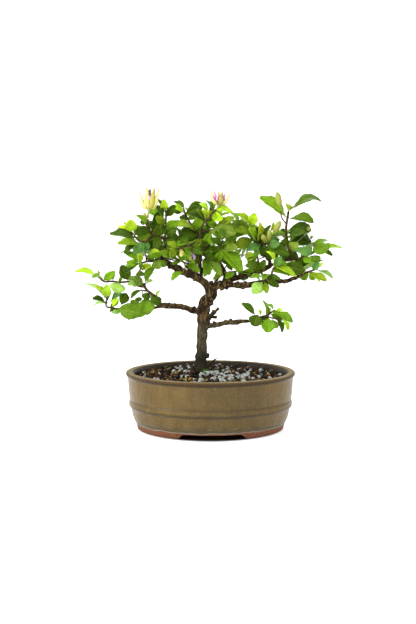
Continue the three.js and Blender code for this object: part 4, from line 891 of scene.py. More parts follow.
class Graph:
    """A node tree with short ways to add and join its nodes."""

    def __init__(self, tree: bpy.types.NodeTree) -> None:
        """Takes a tree to work on, with its shader if it has one."""
        self.tree = tree
        self.shader = tree.nodes.get("Principled BSDF")

    def node(self, kind: str, **settings: object) -> bpy.types.Node:
        """Adds a node.

        Args:
            kind: the node's type, without the word ShaderNode.
            settings: its properties by name, and its inputs by name with an underscore in front.

        Returns:
            The node.
        """
        node = self.tree.nodes.new("ShaderNode" + kind)
        for name, value in settings.items():
            if name.startswith("_"):
                self.feed(node, name[1:].replace("_", " "), value)
            else:
                setattr(node, name, value)
        return node

    def feed(self, node: bpy.types.Node, socket: str, value: object) -> None:
        """Joins an output to an input, or sets the input to a value.

        Args:
            node: the node that has the input.
            socket: the input's name or number.
            value: the output or the value.
        """
        target = node.inputs[int(socket) if socket.isdigit() else socket]
        if isinstance(value, Socket):
            self.tree.links.new(value, target)
        else:
            target.default_value = value

    def place(self, kind: str = "Object") -> Socket:
        """Gives the place on the object, or on its UV map."""
        return self.node("TexCoord").outputs[kind]

    def split(self, place: Socket) -> Sequence[Socket]:
        """Takes a place apart into X, Y and Z."""
        return self.node("SeparateXYZ", _0=place).outputs

    def math(self, operation: str, first: object, second: object = 0.0) -> Socket:
        """Adds a calculation and gives its output."""
        return self.node("Math", operation=operation, _0=first, _1=second).outputs[0]

    def times(self, first: object, second: object) -> Socket:
        """Multiplies two values and gives the output."""
        return self.math("MULTIPLY", first, second)

    def ramp(self, value: Socket, low: float, high: float, start: float = 0.0, end: float = 1.0) -> Socket:
        """Maps a value smoothly from one range to another and gives the output."""
        return self.node("MapRange", interpolation_type="SMOOTHSTEP", _Value=value, _From_Min=low,
                         _From_Max=high, _To_Min=start, _To_Max=end).outputs[0]

    def line(self, value: Socket, low: float, high: float, soft: float) -> Socket:
        """Gives a mask that is one between two values, with soft edges inside them."""
        return self.times(self.ramp(value, low, low + soft), self.ramp(value, high - soft, high, 1.0, 0.0))

    def oval(self, split: Sequence[Socket], halves: Sequence[float]) -> Socket:
        """Measures how far out a place is in an oval.

        Args:
            split: X and Y of the place.
            halves: half the length and half the width of the oval.

        Returns:
            One at the edge of the oval, and less inside it, as a square.
        """
        along, across = (self.math("POWER", self.math("DIVIDE", part, half), 2.0)
                         for part, half in zip(split, halves))
        return self.math("ADD", along, across)

    def mix(self, factor: object, first: object, second: object, blend: str = "MIX") -> Socket:
        """Mixes two colours and gives the output."""
        return self.node("Mix", data_type="RGBA", blend_type=blend, _0=factor, _6=first, _7=second).outputs[2]

    def lay(self, under: object, color: int, mask: Socket, share: float = 1.0) -> Socket:
        """Lays a colour over another one where a mask says, up to a share, and gives the output."""
        return self.mix(self.times(mask, share), under, linear(color))

    def noise(self, place: object, scale: object, detail: float = 3.0, roughness: float = 0.55) -> Socket:
        """Adds a noise and gives its value."""
        return self.node("TexNoise", _Scale=scale, _Detail=detail, _Roughness=roughness,
                         _Vector=place).outputs[0]

    def mottle(
        self, color: object, place: Socket, scale: float, darker: float, lighter: float
    ) -> Sequence[Socket]:
        """Mottles a colour and gives the new colour and its height."""
        return self.node("Group", node_tree=mottle_group(), _Color=color, _Vector=place, _Scale=scale,
                         _Darker=darker, _Lighter=lighter).outputs[:2]

    def streaks(self, place: Socket, width: float, length: float) -> Socket:
        """Gives the mask of upright streaks."""
        return self.node("Group", node_tree=streak_group(), _Vector=place, _Width=width,
                         _Length=length).outputs[0]

    def relief(self, height: Socket, strength: float, depth: float) -> None:
        """Feeds a height to the shader's normal through a bump.

        Args:
            height: the height output.
            strength: how much of the bump shows.
            depth: the height of one, in metres.
        """
        bump = self.node("Bump", _Strength=strength, _Distance=depth, _Height=height)
        self.feed(self.shader, "Normal", bump.outputs[0])

    def let_light_through(self, color: Socket, share: float) -> None:
        """Mixes the surface with one that glows when it is lit from behind.

        Args:
            color: the colour output of the surface.
            share: how much light comes through.
        """
        through = self.node("BsdfTranslucent", _Color=color)
        both = self.node("MixShader", _0=share, _1=self.shader.outputs[0], _2=through.outputs[0])
        self.feed(self.tree.nodes["Material Output"], "Surface", both.outputs[0])


def start_group(
    name: str, inputs: dict[str, str], outputs: dict[str, str]
) -> tuple[Graph, Sequence[Socket], bpy.types.Node]:
    """Begins a node group for an effect that several finishes share.

    Args:
        name: its name.
        inputs: the names and kinds of its inputs.
        outputs: the names and kinds of its outputs.

    Returns:
        Its graph, what it is given, and its output node.
    """
    tree = bpy.data.node_groups.new(name, "ShaderNodeTree")
    for side, sockets in (("INPUT", inputs), ("OUTPUT", outputs)):
        for socket, kind in sockets.items():
            tree.interface.new_socket(socket, in_out=side, socket_type="NodeSocket" + kind)
    source, sink = tree.nodes.new("NodeGroupInput"), tree.nodes.new("NodeGroupOutput")
    return Graph(tree), source.outputs, sink


@cache
def mottle_group() -> bpy.types.NodeTree:
    """Builds blotches of light and shade over a colour: cloudy ones and finer ones in them.

    Returns:
        The group.
    """
    inputs = {"Color": "Color", "Vector": "Vector", "Scale": "Float", "Darker": "Float", "Lighter": "Float"}
    graph, given, sink = start_group("mottle", inputs, {"Color": "Color", "Height": "Float"})
    cloud = graph.noise(given["Vector"], given["Scale"], 4.0, 0.6)
    fine = graph.noise(given["Vector"], graph.times(given["Scale"], 5.3), 2.0, 0.5)
    both = graph.math("ADD", graph.times(cloud, 0.7), graph.times(fine, 0.3))
    span = graph.math("SUBTRACT", given["Lighter"], given["Darker"])
    bright = graph.math("ADD", given["Darker"], graph.times(graph.ramp(both, 0.3, 0.7), span))
    shade = graph.node("CombineColor", _0=bright, _1=bright, _2=bright)
    graph.feed(sink, "Color", graph.mix(1.0, given["Color"], shade.outputs[0], "MULTIPLY"))
    graph.feed(sink, "Height", both)
    return graph.tree


@cache
def vein_group() -> bpy.types.NodeTree:
    """Builds a leaf's midrib and its side veins from the blade's own UV map.

    Returns:
        The group.
    """
    graph, given, sink = start_group(
        "veins", {"UV": "Vector", "Pairs": "Float"}, {"Midrib": "Float", "Sides": "Float"})
    across, along = graph.split(given["UV"])[:2]
    out = graph.math("ABSOLUTE", graph.math("SUBTRACT", across, 0.5))
    climb = graph.math("SUBTRACT", along, graph.times(out, 0.75))
    turns = graph.times(climb, graph.times(given["Pairs"], math.tau))
    graph.feed(sink, "Midrib", graph.ramp(out, 0.0, 0.07, 1.0, 0.0))
    graph.feed(sink, "Sides", graph.ramp(graph.math("SINE", turns), 0.72, 1.0))
    return graph.tree


@cache
def streak_group() -> bpy.types.NodeTree:
    """Builds runs that are long in Z, as in a glaze that has flowed or in weathered wood.

    Returns:
        The group.
    """
    graph, given, sink = start_group(
        "streaks", {"Vector": "Vector", "Width": "Float", "Length": "Float"}, {"Mask": "Float"})
    stretch = graph.node("CombineXYZ", _0=given["Width"], _1=given["Width"], _2=given["Length"])
    scaled = graph.node("VectorMath", operation="MULTIPLY", _0=given["Vector"], _1=stretch.outputs[0])
    graph.feed(sink, "Mask", graph.ramp(graph.noise(scaled.outputs[0], 1.0, 4.0, 0.6), 0.3, 0.7))
    return graph.tree


@dataclass(frozen=True)
class Finish:
    """A finish: a name, a base colour and how rough it is. The mirror is its specular level."""

    name: str
    color: int
    roughness: float = 0.6
    mirror: ClassVar[float] = 0.5

    def make(self) -> Material:
        """Makes the material.

        Returns:
            The material.
        """
        material = bpy.data.materials.new(self.name)
        material.use_nodes = True
        material.diffuse_color = linear(self.color)
        graph = Graph(material.node_tree)
        graph.shader.inputs["Roughness"].default_value = self.roughness
        graph.shader.inputs["Specular IOR Level"].default_value = self.mirror
        self.dress(graph)
        return material

    def dress(self, graph: Graph) -> None:
        """Gives the surface its colour and relief: a plain mottled one.

        Args:
            graph: the material's graph.
        """
        color, height = graph.mottle(linear(self.color), graph.place(), 400.0, 0.8, 1.15)
        graph.feed(graph.shader, "Base Color", color)
        graph.relief(height, 0.4, 0.0003)


@dataclass(frozen=True)
class LeafFinish(Finish):
    """A leaf's face: its own tone, mottled, with paler veins."""

    mirror: ClassVar[float] = 0.1
    pale: float = 0.0
    vein: float = 0.3
    vein_color: int = 0xB8D260
    clear: float = 0.28

    def dress(self, graph: Graph) -> None:
        """Reads the leaf's tone and draws its veins along the blade.

        Args:
            graph: the material's graph.
        """
        tone = graph.node("Attribute", attribute_name="tone").outputs["Color"]
        base = graph.mix(self.pale, tone, linear(self.color))
        skin = graph.mottle(base, graph.place(), 160.0, 0.72, 1.25)[0]
        veins = graph.node("Group", node_tree=vein_group(), _UV=graph.place("UV"), _Pairs=6.0).outputs
        lines = graph.math("MAXIMUM", veins["Midrib"], graph.times(veins["Sides"], 0.55))
        pale = graph.mix(0.45, skin, linear(self.vein_color))
        color = graph.mix(graph.times(lines, self.vein), skin, pale)
        graph.feed(graph.shader, "Base Color", color)
        graph.relief(graph.times(lines, -1.0), 0.35, 0.0004)
        graph.let_light_through(color, self.clear)


@dataclass(frozen=True)
class PetalFinish(Finish):
    """A sepal, petal or bud: its own tone, with lengthwise lines that fade towards the tip."""

    line: int = 0xAAA03C
    lines: float = 3.0
    strength: float = 0.6

    def dress(self, graph: Graph) -> None:
        """Draws fine lines along the blade over its tone.

        Args:
            graph: the material's graph.
        """
        tone = graph.node("Attribute", attribute_name="tone").outputs["Color"]
        across, along = graph.split(graph.place("UV"))[:2]
        lines = graph.ramp(graph.math("COSINE", graph.times(across, math.tau * self.lines)), 0.2, 1.0)
        fade = graph.ramp(along, 0.0, 0.9, 1.0, 0.45)
        color = graph.lay(tone, self.line, graph.times(lines, fade), self.strength)
        graph.feed(graph.shader, "Base Color", graph.mottle(color, graph.place(), 300.0, 0.88, 1.1)[0])
        graph.relief(lines, 0.3, 0.0003)


@dataclass(frozen=True)
class BarkFinish(Finish):
    """Bark: grey-brown, with darker cracks, paler ridges and greenish patches.

    Below a height in metres it can be calm: greyer and smoother, with a dark foot.
    """

    mirror: ClassVar[float] = 0.15
    crack: int = 0x1A120B
    ridge: int = 0x8A7A60
    lichen: int = 0x55563A
    grain: float = 260.0
    calm_below: float = 0.0
    calm_dark: int = 0x141209
    calm_pale: int = 0x5C5842
    calm_patch: int = 0x6C6E54
    foot: int = 0x15120A

    def dress(self, graph: Graph) -> None:
        """Mixes cracks, ridges and patches by their own patterns.

        Args:
            graph: the material's graph.
        """
        place = graph.place()
        skin, height = graph.mottle(linear(self.color), place, self.grain, 0.4, 1.8)
        color = graph.lay(skin, self.ridge, graph.ramp(graph.streaks(place, 300.0, 110.0), 0.4, 0.85), 0.75)
        color = graph.lay(color, self.lichen, graph.ramp(graph.noise(place, 90.0), 0.52, 0.68), 0.5)
        cells = graph.node("TexVoronoi", feature="DISTANCE_TO_EDGE", _Scale=self.grain * 2.2, _Vector=place)
        cracks = graph.ramp(cells.outputs["Distance"], 0.0, 0.14, 1.0, 0.0)
        color = graph.lay(color, self.crack, cracks, 0.75)
        if self.calm_below:
            color = self.calm(graph, place, color)
        graph.feed(graph.shader, "Base Color", color)
        graph.relief(graph.math("SUBTRACT", height, graph.times(cracks, 0.5)), 0.8, 0.0009)

    def calm(self, graph: Graph, place: Socket, color: Socket) -> Socket:
        """Makes the lower trunk greyer and smoother, with pale upright streaks and a dark foot.

        Args:
            graph: the material's graph.
            place: the place on the wood.
            color: the colour of the rough bark.

        Returns:
            The colour with the lower trunk laid in.
        """
        height = graph.split(place)[2]
        smooth = graph.mix(graph.streaks(place, 800.0, 36.0), linear(self.calm_dark), linear(self.calm_pale))
        patch = graph.ramp(graph.noise(place, 260.0), 0.56, 0.66)
        smooth = graph.lay(smooth, self.calm_patch, patch, 0.6)
        below = graph.ramp(height, self.calm_below - 0.012, self.calm_below + 0.006, 1.0, 0.0)
        color = graph.mix(graph.times(below, 0.78), color, smooth)
        return graph.lay(color, self.foot, graph.ramp(height, 0.080, 0.104, 1.0, 0.0), 0.8)


@dataclass(frozen=True)
class Level:
    """A level line laid on the glaze, of painted shade, painted light or a colour of the glaze itself: its
    colour and strength, and its foot, top and soft edge in mm.
    """

    color: int
    share: float
    low: float
    high: float
    soft: float

    def lay(self, graph: Graph, under: Socket, height: Socket) -> Socket:
        """Lays the line over a colour and gives the new one."""
        return graph.lay(under, self.color, graph.line(height, self.low * MM, self.high * MM, self.soft * MM),
                         self.share)


@dataclass(frozen=True)
class GlazeFinish(Finish):
    """The pot's glaze, which stops short of its feet, and the bare clay below it, with painted shade and
    painted light laid into the glaze's colour.
    """

    mirror: ClassVar[float] = 0.2
    light: int = 0x6E5C36
    drip: int = 0x382D18
    # colour of a painted shade down the middle of the front and back
    shade: int = 0x362C14
    speck: int = 0x1C150B
    pale_speck: int = 0x9A8A60
    # colour of the painted shade on the inner wall, inside the oval opening
    inside: int = 0x1E190F
    clay: int = 0x643C26
    opening: tuple[float, float] = (0.0935, 0.0681)
    # Painted shadow in the band's groove and under its bulge, then painted light on the lower wall; each
    # wavers in height
    painted_shading: tuple[Level, ...] = (
        Level(0x32291A, 0.42, 33.8, 37.8, 1.4), Level(0x32291A, 0.66, 25.8, 31.4, 1.8),
        Level(0xB09A60, 0.85, 7.0, 15.0, 4.0),
    )
    # The first line is painted shade under the rolled lip; the amber line and the lip's top follow
    rim: tuple[Level, ...] = (
        Level(0x241809, 0.85, 63.2, 68.2, 1.4), Level(0x442A0C, 0.8, 67.0, 69.2, 0.6),
        Level(0x625632, 0.85, 68.5, 80.0, 0.5),
    )
    seam: Level = Level(0x9E947E, 0.4, 7.0, 9.0, 0.6)

    def dress(self, graph: Graph) -> None:
        """Lays the glaze by height: wall, band, rim, inside, and the clay and seam below, with painted shade
        and painted light among them.

        Args:
            graph: the material's graph.
        """
        place = graph.place()
        parts = graph.split(place)
        waver = graph.times(graph.math("SUBTRACT", graph.noise(place, 130.0, 4.0), 0.5), 0.004)
        level = graph.math("ADD", parts[2], waver)
        drips = graph.streaks(place, 420.0, 34.0)
        color = graph.lay(graph.mottle(linear(self.color), place, 38.0, 0.8, 1.22)[0], self.drip, drips, 0.3)
        color = graph.lay(color, self.light, graph.streaks(place, 60.0, 12.0), 0.3)
        # Painted shade: an upright strip down the middle of the front and back is darker
        color = graph.lay(color, self.shade, graph.line(parts[0], -0.045, 0.088, 0.05), 0.36)
        spots = graph.node("TexVoronoi", _Scale=330.0, _Vector=place).outputs["Distance"]
        few = graph.ramp(graph.noise(place, 120.0, 2.0), 0.5, 0.66)
        dots = graph.times(graph.ramp(spots, 0.1, 0.24, 1.0, 0.0), few)
        color = graph.lay(color, self.speck, dots, 0.7)
        color = graph.lay(color, self.pale_speck, graph.ramp(graph.noise(place, 900.0, 1.0), 0.66, 0.72), 0.4)
        # Painted shadows at the band and painted light low on the wall
        for line in self.painted_shading:
            color = line.lay(graph, color, level)
        # The first rim line is painted shade under the rolled lip
        for line in self.rim:
            color = line.lay(graph, color, parts[2])
        # Painted shade: the inner wall within the opening is dark
        within = graph.ramp(graph.oval(parts, self.opening), 0.97, 1.01, 1.0, 0.0)
        color = graph.lay(color, self.inside, within, 0.85)
        clay = graph.mottle(linear(self.clay), place, 300.0, 0.7, 1.3)[0]
        bare = graph.ramp(level, 0.0072, 0.0078, 1.0, 0.0)
        color = self.seam.lay(graph, graph.mix(bare, color, clay), level)
        graph.feed(graph.shader, "Base Color", color)
        dull = graph.math("MAXIMUM", bare, graph.ramp(parts[2], 0.0660, 0.0685))
        graph.feed(graph.shader, "Roughness", graph.math("ADD", self.roughness, graph.times(dull, 0.4)))
        graph.relief(graph.math("ADD", drips, graph.times(dots, -0.8)), 0.25, 0.0006)


@dataclass(frozen=True)
class GrainFinish(Finish):
    """A grain of the soil mix: mottled, with pits."""

    mirror: ClassVar[float] = 0.1
    darker: float = 0.7
    lighter: float = 1.2
    scale: float = 900.0

    def dress(self, graph: Graph) -> None:
        """Mottles the grain and pits its skin.

        Args:
            graph: the material's graph.
        """
        color, height = graph.mottle(linear(self.color), graph.place(), self.scale, self.darker, self.lighter)
        graph.feed(graph.shader, "Base Color", color)
        graph.relief(height, 0.7, 0.0006)


@dataclass(frozen=True)
class PaperFinish(Finish):
    """The bright paper that the floor and the backdrop are, with some light of its own.

    Where something stands on it, an oval of the stated half length and half width is dark: a painted contact
    shadow, with a glow painted faint blue as shade just round it.
    """

    mirror: ClassVar[float] = 0.0
    glow: float = 0.3
    shadow_oval: tuple[float, float] = (0.0, 0.0)
    stain_color: int = 0x2A2117

    def dress(self, graph: Graph) -> None:
        """Gives the sheet its glow, and paints a contact shadow under what stands on it.

        Args:
            graph: the material's graph.
        """
        graph.shader.inputs["Emission Strength"].default_value = self.glow
        color, glow = linear(self.color), WHITE
        # Painted contact shadow: a dark oval with no glow under the pot, and a faint blue painted shade in
        # the glow round it
        if self.shadow_oval[0]:
            away = graph.math("SQRT", graph.oval(graph.split(graph.place()), self.shadow_oval))
            clear = graph.ramp(away, 0.88, 1.03)
            lit = graph.mix(graph.ramp(away, 1.0, 1.3), (0.93, 0.95, 1.0, 1.0), WHITE)
            color = graph.mix(clear, linear(self.stain_color), color)
            glow = graph.mix(clear, (0.0, 0.0, 0.0, 1.0), lit)
        graph.feed(graph.shader, "Base Color", color)
        graph.feed(graph.shader, "Emission Color", glow)


# The pot and what it holds


@dataclass
class Pot:
    """The oval pot: a wall turned ring by ring, two long feet and two drain holes.

    A ring is its half length and its height in mm; its half width is less by the waist.
    """

    waist: float = WAIST
    segments: int = 128
    rings: Pairs = (
        (78.0, 6.0), (79.2, 0.4), (79.6, 0.0), (87.4, 0.0), (88.0, 0.5), (88.4, 2.4), (90.0, 7.0),
        (93.2, 14.0), (94.8, 21.0), (95.8, 26.4), (96.6, 27.2), (98.0, 28.4), (98.4, 30.4), (98.2, 33.0),
        (97.7, 35.4), (97.2, 36.6), (97.6, 37.8), (98.6, 48.0), (99.4, 60.0), (99.5, 63.2), (100.4, 64.4),
        (101.3, 65.2), (101.6, 66.6), (101.3, 68.2), (100.2, 69.0), (94.2, 69.0), (92.6, 68.2),
        (91.6, 66.4), (91.0, 60.0), (86.0, 15.0), (82.0, 10.5),
    )
    gate: Pairs = ((41.5, -1.0), (41.5, 0.0), (38.9, 1.0), (34.9, 4.8), (32.5, 6.0))
    gate_middle: float = 1.8
    drain_out: float = 45.0
    drain_radius: float = 7.0
    drain_depth: float = 30.0
    drain_height: float = 8.0
    finish: Finish = GlazeFinish("glaze", 0x58451F, 0.3)

    def build(self) -> None:
        """Turns, cuts and glazes the pot."""
        pot = self.turn()
        for block in (self.make_gate(), self.make_drain(-self.drain_out), self.make_drain(self.drain_out)):
            Bench.modify(pot, "BOOLEAN", operation="DIFFERENCE", solver="EXACT", object=block)
            Bench.drop(block)
        Bench.settle(pot, 35)
        Bench.dress(pot, self.finish.make())
        Bench.report(pot, "glaze", "pot")

    def turn(self) -> Piece:
        """Extrudes an oval through all rings and closes it under and above the floor.

        Returns:
            The pot, without its openings.
        """
        half, height = self.rings[0]
        Bench.clear()
        bpy.ops.mesh.primitive_circle_add(
            vertices=self.segments, radius=1.0, fill_type="NGON", location=(0, 0, height * MM))
        pot = bpy.context.object
        pot.name = pot.data.name = "oval_pot"
        pot.scale = (half * MM, (half - self.waist) * MM, 1.0)
        Bench.bake()
        Bench.grow(
            ((0, 0, (high - low) * MM), (new / old, (new - self.waist) / (old - self.waist), 1.0),
             (0, 0, high * MM))
            for (old, low), (new, high) in zip(self.rings, self.rings[1:]))
        return pot

    def make_gate(self) -> Piece:
        """Makes the block that is cut out between the feet, from front to back.

        Returns:
            The block.
        """
        half, height = self.gate[0]
        Bench.clear()
        bpy.ops.mesh.primitive_plane_add(size=2.0, location=(self.gate_middle * MM, 0, height * MM))
        block = bpy.context.object
        block.scale = (half * MM, 0.1, 1.0)
        Bench.bake()
        Bench.grow(
            ((0, 0, (high - low) * MM), (new / old, 1.0, 1.0), (self.gate_middle * MM, 0, high * MM))
            for (old, low), (new, high) in zip(self.gate, self.gate[1:]))
        return block

    def make_drain(self, x: float) -> Piece:
        """Makes the plug that is cut out of the floor for a drain hole.

        Args:
            x: how far to the right of the middle it is, in mm.

        Returns:
            The plug.
        """
        Bench.clear()
        bpy.ops.mesh.primitive_cylinder_add(
            vertices=32, radius=self.drain_radius * MM, depth=self.drain_depth * MM,
            location=(x * MM, 0, self.drain_height * MM))
        return bpy.context.object


@dataclass(frozen=True)
class GrainKind:
    """A kind of grain in the soil: its finish, count and sizes in mm.

    Most grains lie round a heap, given as its middle and spread in mm; the stray share is anywhere.
    The lift is how high the middle of the heap stands and the clear how far off the trunk it starts.
    """

    finish: Finish
    count: int
    small: float
    large: float
    heap: tuple[float, float, float] = (0.0, 0.0, 400.0)
    stray: float = 0.0
    lift: float = 0.0
    clear: float = 9.0


@dataclass
class Soil:
    """The soil: a mound of peat with white, red and tan grains on it.

    The ball and rough shares form a lump, and flat is the range of its height to its width. It
    stands out by the proud in mm and the prouder as a share of its size, within a share of the oval.
    """

    edge: float = 61.5
    mound: float = 4.5
    reach: float = 48.0
    half: float = 89.0
    waist: float = WAIST
    stand: tuple[float, float] = STAND
    seed: int = 7
    styles: int = 4
    ball: float = 0.55
    rough: float = 0.13
    flat: tuple[float, float] = (0.6, 0.9)
    proud: float = 0.9
    prouder: float = 0.12
    within: float = 0.97
    kinds: tuple[GrainKind, ...] = (
        GrainKind(GrainFinish("perlite", 0x8E928C, 0.9, 0.4, 1.45), 170, 2.8, 5.6, (10, -13, 30), 0.1,
                  clear=14.0),
        GrainKind(GrainFinish("lava", 0x44261A, 0.95, 0.45, 1.4), 150, 2.4, 5.2),
        GrainKind(GrainFinish("tan_clay", 0x786834, 0.92, 0.45, 1.3), 120, 2.0, 4.4),
        GrainKind(GrainFinish("peat_crumb", 0x17110A, 0.96, 0.4, 2.2), 700, 1.8, 5.0),
        GrainKind(GrainFinish("moss", 0x2E4E0C, 0.95, 0.5, 1.6), 80, 1.6, 3.2, (-6, 1, 4.2), lift=2.6,
                  clear=6.0),
    )
    bed_finish: Finish = GrainFinish("peat", 0x150F0A, 0.96, 0.4, 2.0, 420.0)

    def build(self) -> None:
        """Builds the bed and its grains, as one piece for the soil."""
        draw = random.Random(self.seed)
        pieces = [self.make_bed(), *(self.scatter(kind, draw) for kind in self.kinds)]
        Bench.report(Bench.join(pieces, "potting_mix"), "soil", "soil")

    def make_bed(self) -> Piece:
        """Copies the soil's body and gives it its own finish.

        Returns:
            The bed.
        """
        node = bpy.data.objects["soil"]
        bed = Bench.copy(node, node.matrix_world.copy())
        bed.hide_render = False
        bed.name = bed.data.name = "peat_bed"
        Bench.take(bed)
        Bench.mode("EDIT")
        bpy.ops.mesh.select_all(action="SELECT")
        bpy.ops.mesh.remove_doubles(threshold=1e-5)
        Bench.mode("OBJECT")
        Bench.dress(bed, self.bed_finish.make())
        Bench.settle(bed, 60)
        return bed

    def make_lump(self, name: str, style: int) -> Piece:
        """Models a lump of two dozen faces from a cut and rounded block.

        Args:
            name: the name of its kind.
            style: which lump of its kind it is.

        Returns:
            The lump, of size one.
        """
        Bench.clear()
        bpy.ops.mesh.primitive_cube_add(size=1.0)
        lump = bpy.context.object
        lump.name = f"{name}_{style}"
        Bench.mode("EDIT")
        bpy.ops.mesh.subdivide(number_cuts=1)
        bpy.ops.transform.tosphere(value=self.ball)
        bpy.ops.transform.vertex_random(offset=self.rough, seed=style + 3)
        Bench.mode("OBJECT")
        bpy.ops.object.shade_smooth_by_angle(angle=math.radians(50))
        return lump

    def scatter(self, kind: GrainKind, draw: random.Random) -> Piece:
        """Lays the grains of a kind over the mound, each partly sunk in it.

        Args:
            kind: the kind of grain.
            draw: the seeded source of chance.

        Returns:
            All grains of the kind as one mesh.
        """
        finish = kind.finish.make()
        lumps = [self.make_lump(kind.finish.name, style) for style in range(self.styles)]
        grains = []
        while len(grains) < kind.count:
            x = draw.uniform(-self.half, self.half)
            y = draw.uniform(-self.half + self.waist, self.half - self.waist)
            rim = (x / self.half) ** 2 + (y / (self.half - self.waist)) ** 2
            near = math.hypot(x - self.stand[0], y - self.stand[1])
            off = math.hypot(x - kind.heap[0], y - kind.heap[1]) / kind.heap[2]
            heaped = math.exp(-off * off)
            if rim > self.within or near < kind.clear or draw.random() > max(kind.stray, heaped):
                continue
            size = draw.uniform(kind.small, kind.large)
            flat = draw.uniform(*self.flat)
            turn = Quaternion([draw.gauss(0, 1) for _ in range(4)]).normalized()
            top = self.edge + self.mound * math.exp(-((near / self.reach) ** 2))
            height = top + self.proud + size * self.prouder + kind.lift * heaped
            sizes = Vector((size, size * flat, size * draw.uniform(*self.flat)))
            place = Matrix.LocRotScale(Vector((x, y, height)) * MM, turn, sizes * MM)
            grains.append(Bench.copy(draw.choice(lumps), place))
        Bench.drop(*lumps)
        joined = Bench.join(grains, kind.finish.name)
        Bench.dress(joined, finish)
        return joined


@dataclass
class Screens:
    """The two plastic screens over the drain holes, which keep their own bodies."""

    names: tuple[str, ...] = ("drain_screen_left", "drain_screen_right")
    finish: Finish = Finish("screen_plastic", 0x242424, 0.5)

    def build(self) -> None:
        """Gives both screens their moulded plastic."""
        plastic = self.finish.make()
        for name in self.names:
            Bench.dress(bpy.data.objects[name], plastic)
            LOG.info("%s: new plastic", name)


# The wood


